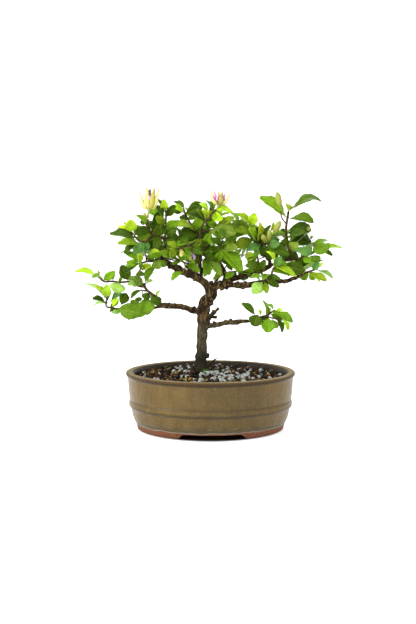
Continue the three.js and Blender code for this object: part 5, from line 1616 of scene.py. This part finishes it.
@dataclass
class Trunk:
    """The trunk with its limbs, stubs and roots, drawn as gnarled tubes and fused.

    A row of the tap root is its height and thickness in mm; one of a side root is how far out it is,
    its height and its thickness. Knots keep to limbs of the least thickness, above the smooth foot.
    """

    voxel: float = 0.75
    pitch: float = 4.0
    swell: float = 0.11
    wander: float = 0.35
    plump: float = 0.5
    knot_pitch: float = 6.5
    knot_least: float = 3.4
    knot_size: tuple[float, float] = (0.17, 0.29)
    knot_rough: float = 0.18
    smooth_below: float = 0.12
    relief: Pairs = ((9.0, 1.4), (2.6, 0.7))
    stub: tuple[float, ...] = (1.4, 1.1, 1.3)
    stand: tuple[float, float] = STAND
    roots: int = 4
    tap: Pairs = ((74, 16), (58, 13), (44, 9))
    root: Triples = ((2, 75, 10), (9, 66.5, 8.5), (16, 61, 6.5), (26, 50, 4))
    seed: int = 21
    finish: Finish = BarkFinish("bark", 0x24170B, 0.9, ridge=0x745E36, lichen=0x3C3A16, grain=150.0,
                                calm_below=0.128)

    def build(self) -> None:
        """Draws all the wood, fuses it and lifts its bark."""
        draw = random.Random(self.seed)
        limbs = [([VIEW.point(row) for row in rows], [row[3] * MM + self.plump * MM for row in rows])
                 for rows in WOOD.values()]
        gnarled = [self.weather(*limb, draw) for limb in limbs]
        wood = tubes(gnarled + self.stub_routes() + self.root_routes(), "barked_trunk", 3)
        knots = [knot for limb in gnarled for knot in self.knots_on(*limb, draw)]
        wood = Bench.join([wood, *self.set_knots(knots)], "barked_trunk")
        Bench.modify(wood, "REMESH", mode="VOXEL", voxel_size=self.voxel * MM, use_smooth_shade=True)
        Bench.modify(wood, "SMOOTH", factor=0.4, iterations=2)
        for size, height in self.relief:
            self.lift(wood, size, height)
        Bench.settle(wood)
        Bench.dress(wood, self.finish.make())
        Bench.report(wood, "bark", "trunk")

    def weather(self, points: Sequence[Vector], sizes: Sequence[float], draw: random.Random) -> Route:
        """Adds points along a limb, each a little off the line and a little too thick or thin.

        Args:
            points: the limb's points.
            sizes: its thickness at each.
            draw: the seeded source of chance.

        Returns:
            The new points and thicknesses.
        """
        route, widths = [points[0]], [sizes[0]]
        for start, end, thick, thin in zip(points, points[1:], sizes, sizes[1:]):
            steps = max(1, round((end - start).length / (self.pitch * MM)))
            for step in range(1, steps + 1):
                share = step / steps
                stray = Vector([draw.uniform(-1, 1) for _ in range(3)]) * self.wander * MM
                route.append(start.lerp(end, share) + stray)
                widths.append((thick + (thin - thick) * share) * (1 + self.swell * draw.uniform(-1, 1)))
        return route, widths

    def knots_on(
        self, points: Sequence[Vector], sizes: Sequence[float], draw: random.Random
    ) -> list[tuple[Vector, float]]:
        """Places knots on a limb, one every few millimetres, on any side of it.

        Args:
            points: the limb's points.
            sizes: its thickness at each.
            draw: the seeded source of chance.

        Returns:
            The middle and radius of each.
        """
        knots = []
        for start, end, size in zip(points, points[1:], sizes):
            smooth = size < self.knot_least * MM or start.z < self.smooth_below
            if draw.random() > (end - start).length / (self.knot_pitch * MM) or smooth:
                continue
            axis = (end - start).normalized()
            way = Vector([draw.gauss(0, 1) for _ in range(3)])
            way = (way - axis * way.dot(axis)).normalized()
            radius = size * draw.uniform(*self.knot_size)
            knots.append((start.lerp(end, draw.random()) + way * (size * 0.5 - radius * 0.35), radius))
        return knots

    def set_knots(self, knots: Sequence[tuple[Vector, float]]) -> list[Piece]:
        """Models one lump and sets a copy of it at each knot.

        Args:
            knots: the middle and radius of each.

        Returns:
            The copies.
        """
        Bench.clear()
        bpy.ops.mesh.primitive_ico_sphere_add(subdivisions=2, radius=1.0)
        lump = bpy.context.object
        Bench.mode("EDIT")
        bpy.ops.transform.vertex_random(offset=self.knot_rough, seed=5)
        Bench.mode("OBJECT")
        copies = []
        for count, (place, radius) in enumerate(knots):
            turn = Quaternion((1, count, 2, 3)).normalized()
            copies.append(Bench.copy(lump, Matrix.LocRotScale(place, turn, Vector((radius,) * 3))))
        Bench.drop(lump)
        return copies

    def stub_routes(self) -> list[Route]:
        """Lays the pruned stubs and the dead twig.

        Returns:
            The route of each.
        """
        routes = []
        for row in STUBS:
            start, end, size = VIEW.point(row[:3]), VIEW.point(row[3:6]), row[6] * MM
            routes.append(([start, start.lerp(end, 0.5), end], [size * share for share in self.stub]))
        routes.append(([VIEW.point(row) for row in DEAD_TWIG], [row[3] * MM for row in DEAD_TWIG]))
        return routes

    def root_routes(self) -> list[Route]:
        """Lays the roots that spread from the foot of the trunk into the soil.

        Returns:
            The route of each.
        """
        x, y = self.stand
        tap = [Vector((x, y, height)) * MM for height, _ in self.tap]
        routes = [(tap, [size * MM for _, size in self.tap])]
        for i in range(self.roots):
            angle = math.tau * (i + 0.35 * vary(i)) / self.roots
            way = Vector((math.cos(angle), math.sin(angle), 0))
            points = [Vector((x, y, height)) * MM + way * out * MM for out, height, _ in self.root]
            routes.append((points, [size * MM for _, _, size in self.root]))
        return routes

    @staticmethod
    def lift(wood: Piece, size: float, height: float) -> None:
        """Lifts and sinks the surface by a cloudy pattern.

        Args:
            wood: the piece.
            size: the pattern's size in mm.
            height: how far the surface moves, in mm.
        """
        clouds = bpy.data.textures.new("bark_relief", "CLOUDS")
        clouds.noise_scale = size * MM
        clouds.noise_depth = 3
        Bench.modify(wood, "DISPLACE", texture=clouds, strength=height * MM, mid_level=0.5,
                     texture_coords="LOCAL")
        bpy.data.textures.remove(clouds)


# Leaves, buds and flowers


class Style(Enum):
    """The forms that leaves take."""

    FLAT = "flat"
    ARCHED = "arched"
    CUPPED = "cupped"
    DROOPING = "drooping"


@dataclass(frozen=True)
class Blade:
    """The form of a blade of length one and width one.

    The fold is how high its edges stand. The arch is how far its middle rises, the droop how far
    its tip falls, and the sway how far it bends out low down and in higher up. A late arch is
    highest beyond the middle. The outline's peak and fullness say where it is widest.
    """

    fold: float = 0.1
    arch: float = 0.09
    droop: float = 0.0
    sway: float = 0.0
    late: float = 1.0
    ripple: float = 0.02
    teeth: float = 0.025
    peak: float = 1.05
    full: float = 0.78
    columns: int = 4
    rows: int = 10

    def build(self, name: str) -> Piece:
        """Shapes a grid column by column and row by row.

        Args:
            name: the name of the blade.

        Returns:
            The blade, along +Y, with its upper face to +Z.
        """
        Bench.clear()
        bpy.ops.mesh.primitive_grid_add(
            x_subdivisions=self.columns, y_subdivisions=self.rows, size=1.0, calc_uvs=True,
            location=(0, 0.5, 0))
        blade = bpy.context.object
        blade.name = blade.data.name = name
        Bench.bake()
        Bench.mode("EDIT")
        bpy.ops.mesh.select_mode(type="VERT")
        self.fold_columns(blade)
        if self.teeth:
            self.cut_teeth(blade)
        for row in range(self.rows + 1):
            self.shape_row(blade, row)
        Bench.mode("OBJECT")
        bpy.ops.object.shade_smooth()
        return blade

    def fold_columns(self, blade: Piece) -> None:
        """Lifts the columns by how far out they are, and ripples the outer ones.

        Args:
            blade: the grid in edit mode.
        """
        for column in range(self.columns + 1):
            x = column / self.columns - 0.5
            Bench.pick(blade, lambda point: abs(point.x - x) < 0.01)
            bpy.ops.transform.translate(value=(0, 0, self.fold * (2 * abs(x)) ** 1.3))
        for side, start in ((-0.5, 0), (0.5, 1)):
            Bench.pick(blade, lambda point: abs(point.x - side) < 0.01
                       and round(point.y * self.rows) % 4 // 2 == start)
            bpy.ops.transform.translate(value=(0, 0, self.ripple))

    def cut_teeth(self, blade: Piece) -> None:
        """Pulls every other point of the edge out and forward.

        Args:
            blade: the grid in edit mode.
        """
        Bench.pick(blade, lambda point: abs(point.x) > 0.49 and round(point.y * self.rows) % 2 == 1)
        bpy.ops.transform.resize(value=(1 + 2 * self.teeth, 1, 1), center_override=(0, 0, 0))
        bpy.ops.transform.translate(value=(0, 0.3 / self.rows, 0))

    def shape_row(self, blade: Piece, row: int) -> None:
        """Narrows a row to the outline and sets it at its height.

        Args:
            blade: the grid in edit mode.
            row: which row it is.
        """
        along = row / self.rows
        Bench.pick(blade, lambda point: abs(point.y - along) < 0.5 / self.rows)
        late = along**self.late
        height = 4 * late * (1 - late) * self.arch - self.droop * along**3
        height += self.sway * math.sin(math.tau * along)
        if row in (0, self.rows):
            bpy.ops.transform.translate(value=(0, 0, height))
            bpy.ops.mesh.merge(type="CENTER")
            return
        share = math.sin(math.pi * along**self.peak) ** self.full
        bpy.ops.transform.resize(value=(share, 1, share), center_override=(0, along, 0))
        bpy.ops.transform.translate(value=(0, 0, height))


@dataclass(frozen=True)
class Leaf:
    """Where a leaf goes: its base, its tip, where its upper face looks, its width, tone and form.

    Most leaves are dark, so a row of a plan names only another tone.
    """

    base: Vector
    tip: Vector
    face: Vector
    width: float
    tone: str = "dark"
    style: Optional[str] = None


@dataclass
class Foliage:
    """All that is green: sprays of leaves on twigs, with buds.

    Thicknesses are in mm. A leaf's width is at least the slender share of its length, and it is made
    longer and wider than it is seen. Its upper face turns up, or to the right where that way rises
    by less than the steep. Twigs and petioles are grown by shares at their points. A leaf of the far
    side swings out by an angle, climbs by a share, and begins this far out of its shoot in mm.
    """

    leaf_thickness: float = 0.55
    slender: float = 0.44
    longer: float = 1.05
    wider: float = 1.1
    steep: float = 0.35
    petiole: float = 1.0
    petiole_growth: tuple[float, float, float] = (1.15, 0.9, 0.8)
    bud_width: float = 0.9
    twig_growth: tuple[float, float] = (1.25, 1.4)
    far_twig: tuple[float, float] = (2.0, 1.2)
    far_swing: float = 0.95
    far_climb: float = 0.22
    far_out: float = 1.6
    bud_rings: Pairs = (
        (0.0, 0.1), (0.12, 0.14), (0.2, 0.44), (0.4, 0.58), (0.68, 0.6), (0.86, 0.46), (1.0, 0.14),
    )
    forms: dict[Style, Blade] = field(default_factory=lambda: {
        Style.FLAT: Blade(),
        Style.ARCHED: Blade(fold=0.06, arch=0.19, droop=0.08, late=1.4, peak=1.35),
        Style.CUPPED: Blade(fold=0.2, arch=0.04, ripple=0.03),
        Style.DROOPING: Blade(fold=0.12, arch=0.1, droop=0.2, ripple=0.03),
    })
    turns: tuple[Style, ...] = (
        Style.FLAT, Style.CUPPED, Style.DROOPING, Style.FLAT, Style.ARCHED, Style.CUPPED,
    )
    upper: Finish = LeafFinish("leaf_upper", 0x78A028, 0.42)
    under: Finish = LeafFinish("leaf_under", 0xB4D08C, 0.6, pale=0.4, vein=0.45)
    twig: Finish = BarkFinish("twig_bark", 0x42301A, 0.85, ridge=0x7A6038, lichen=0x4C4424, grain=400.0)
    bud_skin: Finish = PetalFinish("bud_skin", 0x8E9432, 0.6, line=0x5E6422, lines=5.0)
    count: int = 0

    def build(self) -> None:
        """Makes every spray of both sides."""
        self.masters = {style: form.build(f"blade_{style.value}") for style, form in self.forms.items()}
        self.materials = [finish.make() for finish in (self.twig, self.upper, self.under, self.bud_skin)]
        self.bud_master = self.make_bud_master()
        self.limbs = [[VIEW.point(row) for row in rows] for rows in WOOD.values()]
        for name, plan in SPRAYS.items():
            self.make_near(name, plan)
        for name, plan in FAR_SPRAYS.items():
            self.make_far(name, plan)
        Bench.drop(*self.masters.values(), self.bud_master)
        LOG.info("%d leaves", self.count)

    def make_bud_master(self) -> Piece:
        """Models a ribbed, pointed bud of length one and width one along +Y.

        Returns:
            The bud.
        """
        Bench.clear()
        bpy.ops.mesh.primitive_circle_add(
            vertices=12, radius=self.bud_rings[0][1], fill_type="NGON", rotation=(-math.pi / 2, 0, 0))
        bud = bpy.context.object
        Bench.bake()
        Bench.mode("EDIT")
        bpy.ops.mesh.select_mode(type="VERT")
        Bench.grow(
            ((0, at - before, 0), (size / radius, 1, size / radius), (0, at, 0))
            for (before, radius), (at, size) in zip(self.bud_rings, self.bud_rings[1:]))
        Bench.mode("EDIT")
        Bench.pick(bud, lambda point: round(math.atan2(point.z, point.x) / (math.pi / 6)) % 2 == 0
                   and 0.15 < point.y < 0.97)
        bpy.ops.transform.resize(value=(0.84, 1, 0.84), center_override=(0, 0, 0))
        Bench.mode("OBJECT")
        bpy.ops.object.shade_smooth()
        return bud

    @staticmethod
    def paint(piece: Piece, color: Sequence[float]) -> None:
        """Writes a linear colour to all points of a piece, as its tone."""
        layer = piece.data.color_attributes.new("tone", "FLOAT_COLOR", "POINT")
        layer.data.foreach_set("color", list(color) * len(layer.data))

    def set_blade(self, master: Piece, leaf: Leaf, count: int) -> Piece:
        """Copies a blade to its place, in its own shade of its tone.

        Args:
            master: the form.
            leaf: where it goes.
            count: which leaf it is, which sets its shade.

        Returns:
            The blade.
        """
        length = (leaf.tip - leaf.base).length
        axis = (leaf.tip - leaf.base) / length
        blade = Bench.copy(master, placement(leaf.base, axis, leaf.face, (leaf.width, length, length)))
        red, green, blue, alpha = Tone[leaf.tone.upper()].rgba()
        light = 1 + 0.4 * vary(count * 7 + 3)
        warm = 1 + 0.16 * vary(count * 11 + 5)
        self.paint(blade, (red * light * warm, green * light, blue * light / warm, alpha))
        return blade

    def near_leaf(self, row: Sequence) -> Leaf:
        """Turns a leaf of the front view about its length until it looks as wide as there.

        Args:
            row: its row in the plan.

        Returns:
            The leaf.
        """
        base, tip = VIEW.point(row[:3]), VIEW.point(row[3:6])
        axis = (tip - base).normalized()
        seen = row[6] * VIEW.step
        width = max(seen, self.slender * (tip - base).length)
        viewer = (VIEW.eye - base).normalized()
        front = (viewer - axis * viewer.dot(axis)).normalized()
        rise = front.cross(axis)
        if (rise.z if abs(rise.z) > self.steep else rise.x) < 0:
            rise.negate()
        turn = math.acos(min(1.0, seen / width))
        face = front * math.cos(turn) + rise * math.sin(turn)
        return Leaf(base, base.lerp(tip, self.longer), face, width * self.wider, *row[7:])

    def far_leaves(self, shoot: Sequence, tone: str) -> list[Leaf]:
        """Lets leaves alternate along a shoot of the far side.

        Args:
            shoot: its start, end, leaf count and leaf length in mm.
            tone: the tone of its leaves.

        Returns:
            The leaves.
        """
        start, end, count, size = Vector(shoot[0]), Vector(shoot[1]), shoot[2], shoot[3]
        ahead = (end - start).normalized()
        aside = Vector((-ahead.y, ahead.x, 0)).normalized()
        up = Vector((0, 0, 1))
        leaves = []
        for i in range(count):
            base = start.lerp(end, (i + 1) / count)
            side = 0 if i == count - 1 else 1 if i % 2 else -1
            swing = self.far_swing * side * (1 + 0.4 * vary(i + count))
            length = size * (1 + 0.3 * vary(3 * i + count))
            heading = ahead * math.cos(swing) + aside * math.sin(swing)
            heading = (heading + up * self.far_climb * (1 + 2 * vary(5 * i + count))).normalized()
            out = base + heading * self.far_out
            face = up + aside * 0.8 * vary(2 * i + 1)
            width = length * (0.5 + 0.1 * vary(i)) * MM
            leaves.append(Leaf(out * MM, (out + heading * length) * MM, face, width, tone))
        return leaves

    def make_near(self, name: str, plan: SprayPlan) -> None:
        """Makes a spray of the near side, with its filling and its partners.

        Args:
            name: its name.
            plan: its layout.
        """
        lines = [[VIEW.point(place) for place in twig.route] for twig in plan.twigs]
        sizes = [(twig.thick * self.twig_growth[0], twig.thin * self.twig_growth[1]) for twig in plan.twigs]
        partners = self.partners(plan, random.Random(len(plan.leaves) + self.count))
        leaves = [self.near_leaf(row) for row in (*plan.leaves, *FILLING.get(name, ()), *partners)]
        self.make_spray(name, "leaf_shade" if name in SHADED else "leaf", lines, sizes, leaves, plan.buds)

    def make_far(self, name: str, plan: FarPlan) -> None:
        """Makes a spray of the far side.

        Args:
            name: its name.
            plan: its layout.
        """
        lines = [[Vector(shoot[0]) * MM, Vector(shoot[1]) * MM] for shoot in plan.shoots]
        leaves = [leaf for shoot in plan.shoots for leaf in self.far_leaves(shoot, plan.tone)]
        self.make_spray(name, "leaf_shade", lines, [self.far_twig] * len(lines), leaves, ())

    def make_spray(
        self, name: str, slot: str, lines: list[list[Vector]], sizes: Sequence[tuple[float, float]],
        leaves: Sequence[Leaf], buds: Sequence[Sequence[float]],
    ) -> None:
        """Makes the twigs, leaves and buds of a spray and joins them to one piece.

        Args:
            name: its name.
            slot: the slot of its finish.
            lines: the points of its twigs; the first twig begins in the nearest limb.
            sizes: the first and last thickness of each twig in mm.
            leaves: its leaves.
            buds: the rows of its buds.
        """
        twig, upper, under, skin = self.materials
        lines[0].insert(0, nearest_on(self.limbs, lines[0][0]))
        blades, stalks, hanging = [], [], []
        for leaf in leaves:
            form = leaf.style or self.turns[self.count * 5 % len(self.turns)]
            blades.append(self.set_blade(self.masters[Style(form)], leaf, self.count))
            stalks.append(self.stalk(lines, leaf.base, leaf.tip))
            self.count += 1
        for row in buds:
            foot, tip = VIEW.point(row[:3]), VIEW.point(row[3:6])
            length, width = (tip - foot).length, row[6] * self.bud_width * VIEW.step
            place = placement(foot, (tip - foot).normalized(), VIEW.eye - foot, (width, length, width))
            hanging.append(Bench.copy(self.bud_master, place))
            self.paint(hanging[-1], Tone.BUD.rgba())
            Bench.dress(hanging[-1], skin)
            stalks.append(self.stalk(lines, foot, tip))
        wood = tubes([(line, thin_out(line, *size)) for line, size in zip(lines, sizes)], "twigs", 2)
        Bench.dress(wood, twig)
        green = tubes(stalks, "stalks", 0)
        Bench.dress(green, skin)
        self.paint(green, Tone.STALK.rgba())
        foliage = Bench.join(blades, "leaves")
        Bench.dress(foliage, upper, under)
        Bench.modify(foliage, "SOLIDIFY", thickness=self.leaf_thickness * MM, offset=0.0, material_offset=1,
                     use_even_offset=False)
        Bench.report(Bench.join([wood, foliage, green, *hanging], f"leaves_{name}"), slot, f"spray_{name}")

    @staticmethod
    def partners(plan: SprayPlan, draw: random.Random) -> list[list]:
        """Gives the leaves in the dense middle of the crown a partner behind them.

        Args:
            plan: the spray's layout.
            draw: the seeded source of chance.

        Returns:
            The rows of the partners.
        """
        rows = []
        for row in plan.leaves:
            along, down = row[3] - row[0], row[4] - row[1]
            turn = draw.choice((-1, 1)) * draw.uniform(0.7, 1.8)
            size = draw.uniform(9, 14) / max(6.0, math.hypot(along, down))
            column = row[0] + size * (along * math.cos(turn) - down * math.sin(turn))
            line = row[1] + size * (along * math.sin(turn) + down * math.cos(turn))
            if inside(DENSE, column, line) and inside(DENSE, row[0], row[1]):
                tone = draw.choice(("dark", "dark", "mid", "olive"))
                depth = row[2] + draw.uniform(4, 12)
                rows.append([row[0], row[1], row[2] + 1, column, line, depth, draw.uniform(6, 9), tone])
        return rows

    def stalk(self, lines: Sequence[Sequence[Vector]], base: Vector, tip: Vector) -> Route:
        """Lays a leaf stalk from the nearest twig into the foot of the blade.

        Args:
            lines: the points of the twigs.
            base: where the blade begins.
            tip: where it ends.

        Returns:
            The points and thicknesses of the stalk.
        """
        root = nearest_on(lines, base)
        if (root - base).length < 0.0006:
            root = base - (tip - base) * 0.04
        middle = root.lerp(base, 0.55) + Vector((0, 0, 0.0004))
        sizes = [self.petiole * MM * growth for growth in self.petiole_growth]
        return [root, middle, base.lerp(tip, 0.06)], sizes


@dataclass
class Blooms:
    """The two half-open flowers: sepals on a stalk, and petals round an eye.

    A row of the knob and the column is its height over the heart and its thickness in mm. A row of
    the stamen is how far out and how far up it is, and its thickness.
    """

    foliage: Foliage
    sepal_rise: float = 1.1
    petal_rise: float = 4.6
    thickness: float = 0.6
    wider: float = 1.3
    stem_size: float = 2.6
    knob: Pairs = ((-1.2, 1.6), (0.2, 4.4), (2.0, 4.4), (2.8, 2.4))
    column: Pairs = ((2.6, 1.8), (10.2, 2.2), (16.2, 1.2))
    stamen: Triples = ((0.6, 0.0, 0.4), (1.6, 3.0, 0.4), (1.8, 6.4, 0.8))
    stamens: int = 9
    sepal_form: Blade = Blade(
        fold=-0.16, arch=0.12, sway=0.03, late=0.6, ripple=0.0, teeth=0.0, peak=0.62, full=0.85)
    petal_form: Blade = Blade(fold=-0.1, arch=0.0, sway=0.06, ripple=0.05, teeth=0.0, peak=0.85)
    sepal: Finish = PetalFinish("sepal", 0xEBE18C, 0.5, line=0x8E8E3C, strength=0.75)
    petal: Finish = PetalFinish("petal", 0xE1C8EB, 0.45, line=0xA05A96, lines=2.0, strength=0.4)
    stalk: Finish = PetalFinish("flower_stalk", 0x9AA04A, 0.6, line=0x6E6A34, lines=4.0)

    def build(self) -> None:
        """Makes both flowers."""
        sepal, petal, stalk = self.sepal.make(), self.petal.make(), self.stalk.make()
        outer, inner = self.sepal_form.build("sepal_form"), self.petal_form.build("petal_form")
        for name, plan in BLOOMS.items():
            cup = self.ring(outer, plan.sepals, plan, self.sepal_rise)
            self.finish(f"{name}_sepals", "sepal", cup, sepal, self.make_stem(plan), Tone.STEM, stalk)
            corolla = self.ring(inner, plan.petals, plan, self.petal_rise)
            self.finish(f"{name}_petals", "petal", corolla, petal, self.make_eye(plan), Tone.EYE, sepal)
        Bench.drop(outer, inner)

    def finish(
        self, name: str, slot: str, ring: Piece, material: Material, middle: Piece, tone: Tone, skin: Material
    ) -> None:
        """Thickens a ring of blades and joins it with what stands in its middle.

        Args:
            name: the name of the flower and its half.
            slot: the slot of its finish.
            ring: the blades.
            material: the blades' finish.
            middle: the stalk or the eye.
            tone: the middle's tone.
            skin: the middle's finish.
        """
        Bench.dress(ring, material)
        Bench.modify(ring, "SOLIDIFY", thickness=self.thickness * MM, offset=0.0, use_even_offset=False)
        self.foliage.paint(middle, tone.rgba())
        Bench.dress(middle, skin)
        Bench.report(Bench.join([ring, middle], f"flower_{name}"), slot, f"bloom_{name}")

    def ring(self, master: Piece, rows: list[list], plan: BloomPlan, rise: float) -> Piece:
        """Sets blades round the heart, each facing out.

        Args:
            master: the blade's form.
            rows: tip, width and tone of each.
            plan: the flower's layout.
            rise: how far above its heart they begin, in mm.

        Returns:
            The blades as one mesh.
        """
        foot = VIEW.point(plan.heart) + Vector((0, 0, rise)) * MM
        tips = [VIEW.point(row) for row in rows]
        centre = sum(tips, Vector()) / len(tips)
        blades = []
        for count, (row, tip) in enumerate(zip(rows, tips)):
            out = Vector((tip.x - centre.x, tip.y - centre.y, 0)).normalized()
            leaf = Leaf(foot + out * plan.spread * MM, tip, out, row[3] * self.wider * MM, row[4])
            blades.append(self.foliage.set_blade(master, leaf, count))
        return Bench.join(blades, "ring")

    @staticmethod
    def upright(plan: BloomPlan, profile: Sequence[tuple[float, float]]) -> Route:
        """Stands a profile of heights and thicknesses on a flower's heart."""
        points = [VIEW.point(plan.heart) + Vector((0, 0, height)) * MM for height, _ in profile]
        return points, [size * MM for _, size in profile]

    def make_stem(self, plan: BloomPlan) -> Piece:
        """Draws the stalk and the knob that the sepals stand on."""
        stalk = [VIEW.point(place) for place in plan.pedicel]
        return tubes([(stalk, [self.stem_size * MM] * len(stalk)), self.upright(plan, self.knob)], "stem", 2)

    def make_eye(self, plan: BloomPlan) -> Piece:
        """Draws the eye: a column with a brush of stamens.

        Args:
            plan: the flower's layout.

        Returns:
            The eye.
        """
        routes = [self.upright(plan, self.column)]
        middle = routes[0][0][1]
        for i in range(self.stamens):
            angle = math.tau * i / self.stamens
            way = Vector((math.cos(angle), math.sin(angle), 0))
            points = [middle + (way * out + Vector((0, 0, up))) * MM for out, up, _ in self.stamen]
            points[-1].z += vary(i) * MM
            routes.append((points, [size * MM for _, _, size in self.stamen]))
        return tubes(routes, "eye", 1)


# The studio


@dataclass
class Studio:
    """The camera, the lights, and a white floor that runs to a white backdrop."""

    # The floor paper, with a painted contact shadow under the pot
    paper: Finish = PaperFinish("paper", 0xD2D2D2, 0.9, glow=0.66, shadow_oval=(0.0895, 0.0690))
    far_paper: Finish = PaperFinish("far_paper", 0xDCDCDC, 0.9, glow=0.6)
    sheet_size: float = 8.0
    sheet_away: float = 3.99
    sheet_height: float = 3.9
    floor_height: float = -0.0004
    sky: float = 0.2
    aim: tuple[float, float, float] = (0.0, 0.0, 0.14)
    lamps: tuple[tuple[str, tuple[float, float, float], float, float], ...] = (
        ("key", (-1.3, -0.9, 1.1), 0.7, 29.0),
        ("top", (-0.3, -0.3, 1.8), 0.8, 11.0),
        ("back", (0.2, 1.2, 1.4), 0.9, 13.0),
    )

    def build(self) -> None:
        """Sets up all that isn't the tree: the floor, a sheet on each of its four sides, and the light."""
        self.place_camera()
        self.lay_sheet("floor", (0, 0, self.floor_height), (0, 0, 0), self.paper.make())
        white, away = self.far_paper.make(), self.sheet_away
        for name, x, y, turn in (("back", 0, away, 0), ("front", 0, -away, 0),
                                 ("left", -away, 0, 90), ("right", away, 0, 90)):
            self.lay_sheet(name, (x, y, self.sheet_height), (math.pi / 2, 0, math.radians(turn)), white)
        self.light()

    @staticmethod
    def place_camera() -> None:
        """Stands the camera where the front view is taken from."""
        Bench.clear()
        bpy.ops.object.camera_add(location=VIEW.eye, rotation=(math.pi / 2 - VIEW.pitch, 0, 0))
        camera = bpy.context.object
        camera.data.lens = VIEW.lens
        camera.data.sensor_width = VIEW.long_side
        camera.data.sensor_fit = "AUTO"
        camera.data.clip_start = 0.05
        camera.data.clip_end = 60
        bpy.context.scene.camera = camera

    def lay_sheet(self, name: str, place: Sequence[float], turn: Sequence[float], material: Material) -> None:
        """Lays or stands a sheet of paper.

        Args:
            name: its side.
            place: its middle.
            turn: its rotation.
            material: its finish.
        """
        Bench.clear()
        bpy.ops.mesh.primitive_plane_add(size=self.sheet_size, location=place, rotation=turn)
        sheet = bpy.context.object
        sheet.name = f"paper_{name}"
        Bench.settle(sheet)
        Bench.dress(sheet, material)

    def light(self) -> None:
        """Sets a bright sky, a broad light from the upper left, and weaker ones above and behind."""
        world = bpy.data.worlds.new("white_sky")
        world.use_nodes = True
        world.node_tree.nodes["Background"].inputs["Color"].default_value = WHITE
        world.node_tree.nodes["Background"].inputs["Strength"].default_value = self.sky
        bpy.context.scene.world = world
        bpy.context.scene.view_settings.view_transform = "Standard"
        for name, place, size, power in self.lamps:
            bpy.ops.object.light_add(type="AREA", location=place)
            lamp = bpy.context.object
            lamp.name = name
            lamp.data.size = size
            lamp.data.energy = power
            lamp.rotation_euler = (Vector(self.aim) - Vector(place)).to_track_quat("-Z", "Y").to_euler()


def main() -> None:
    """Builds every piece of the tree and its studio."""
    logging.basicConfig(level=logging.INFO, format="%(name)s: %(message)s")
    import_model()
    Studio().build()
    Pot().build()
    Screens().build()
    Trunk().build()
    Soil().build()
    foliage = Foliage()
    foliage.build()
    Blooms(foliage).build()


if __name__ == "__main__":
    main()
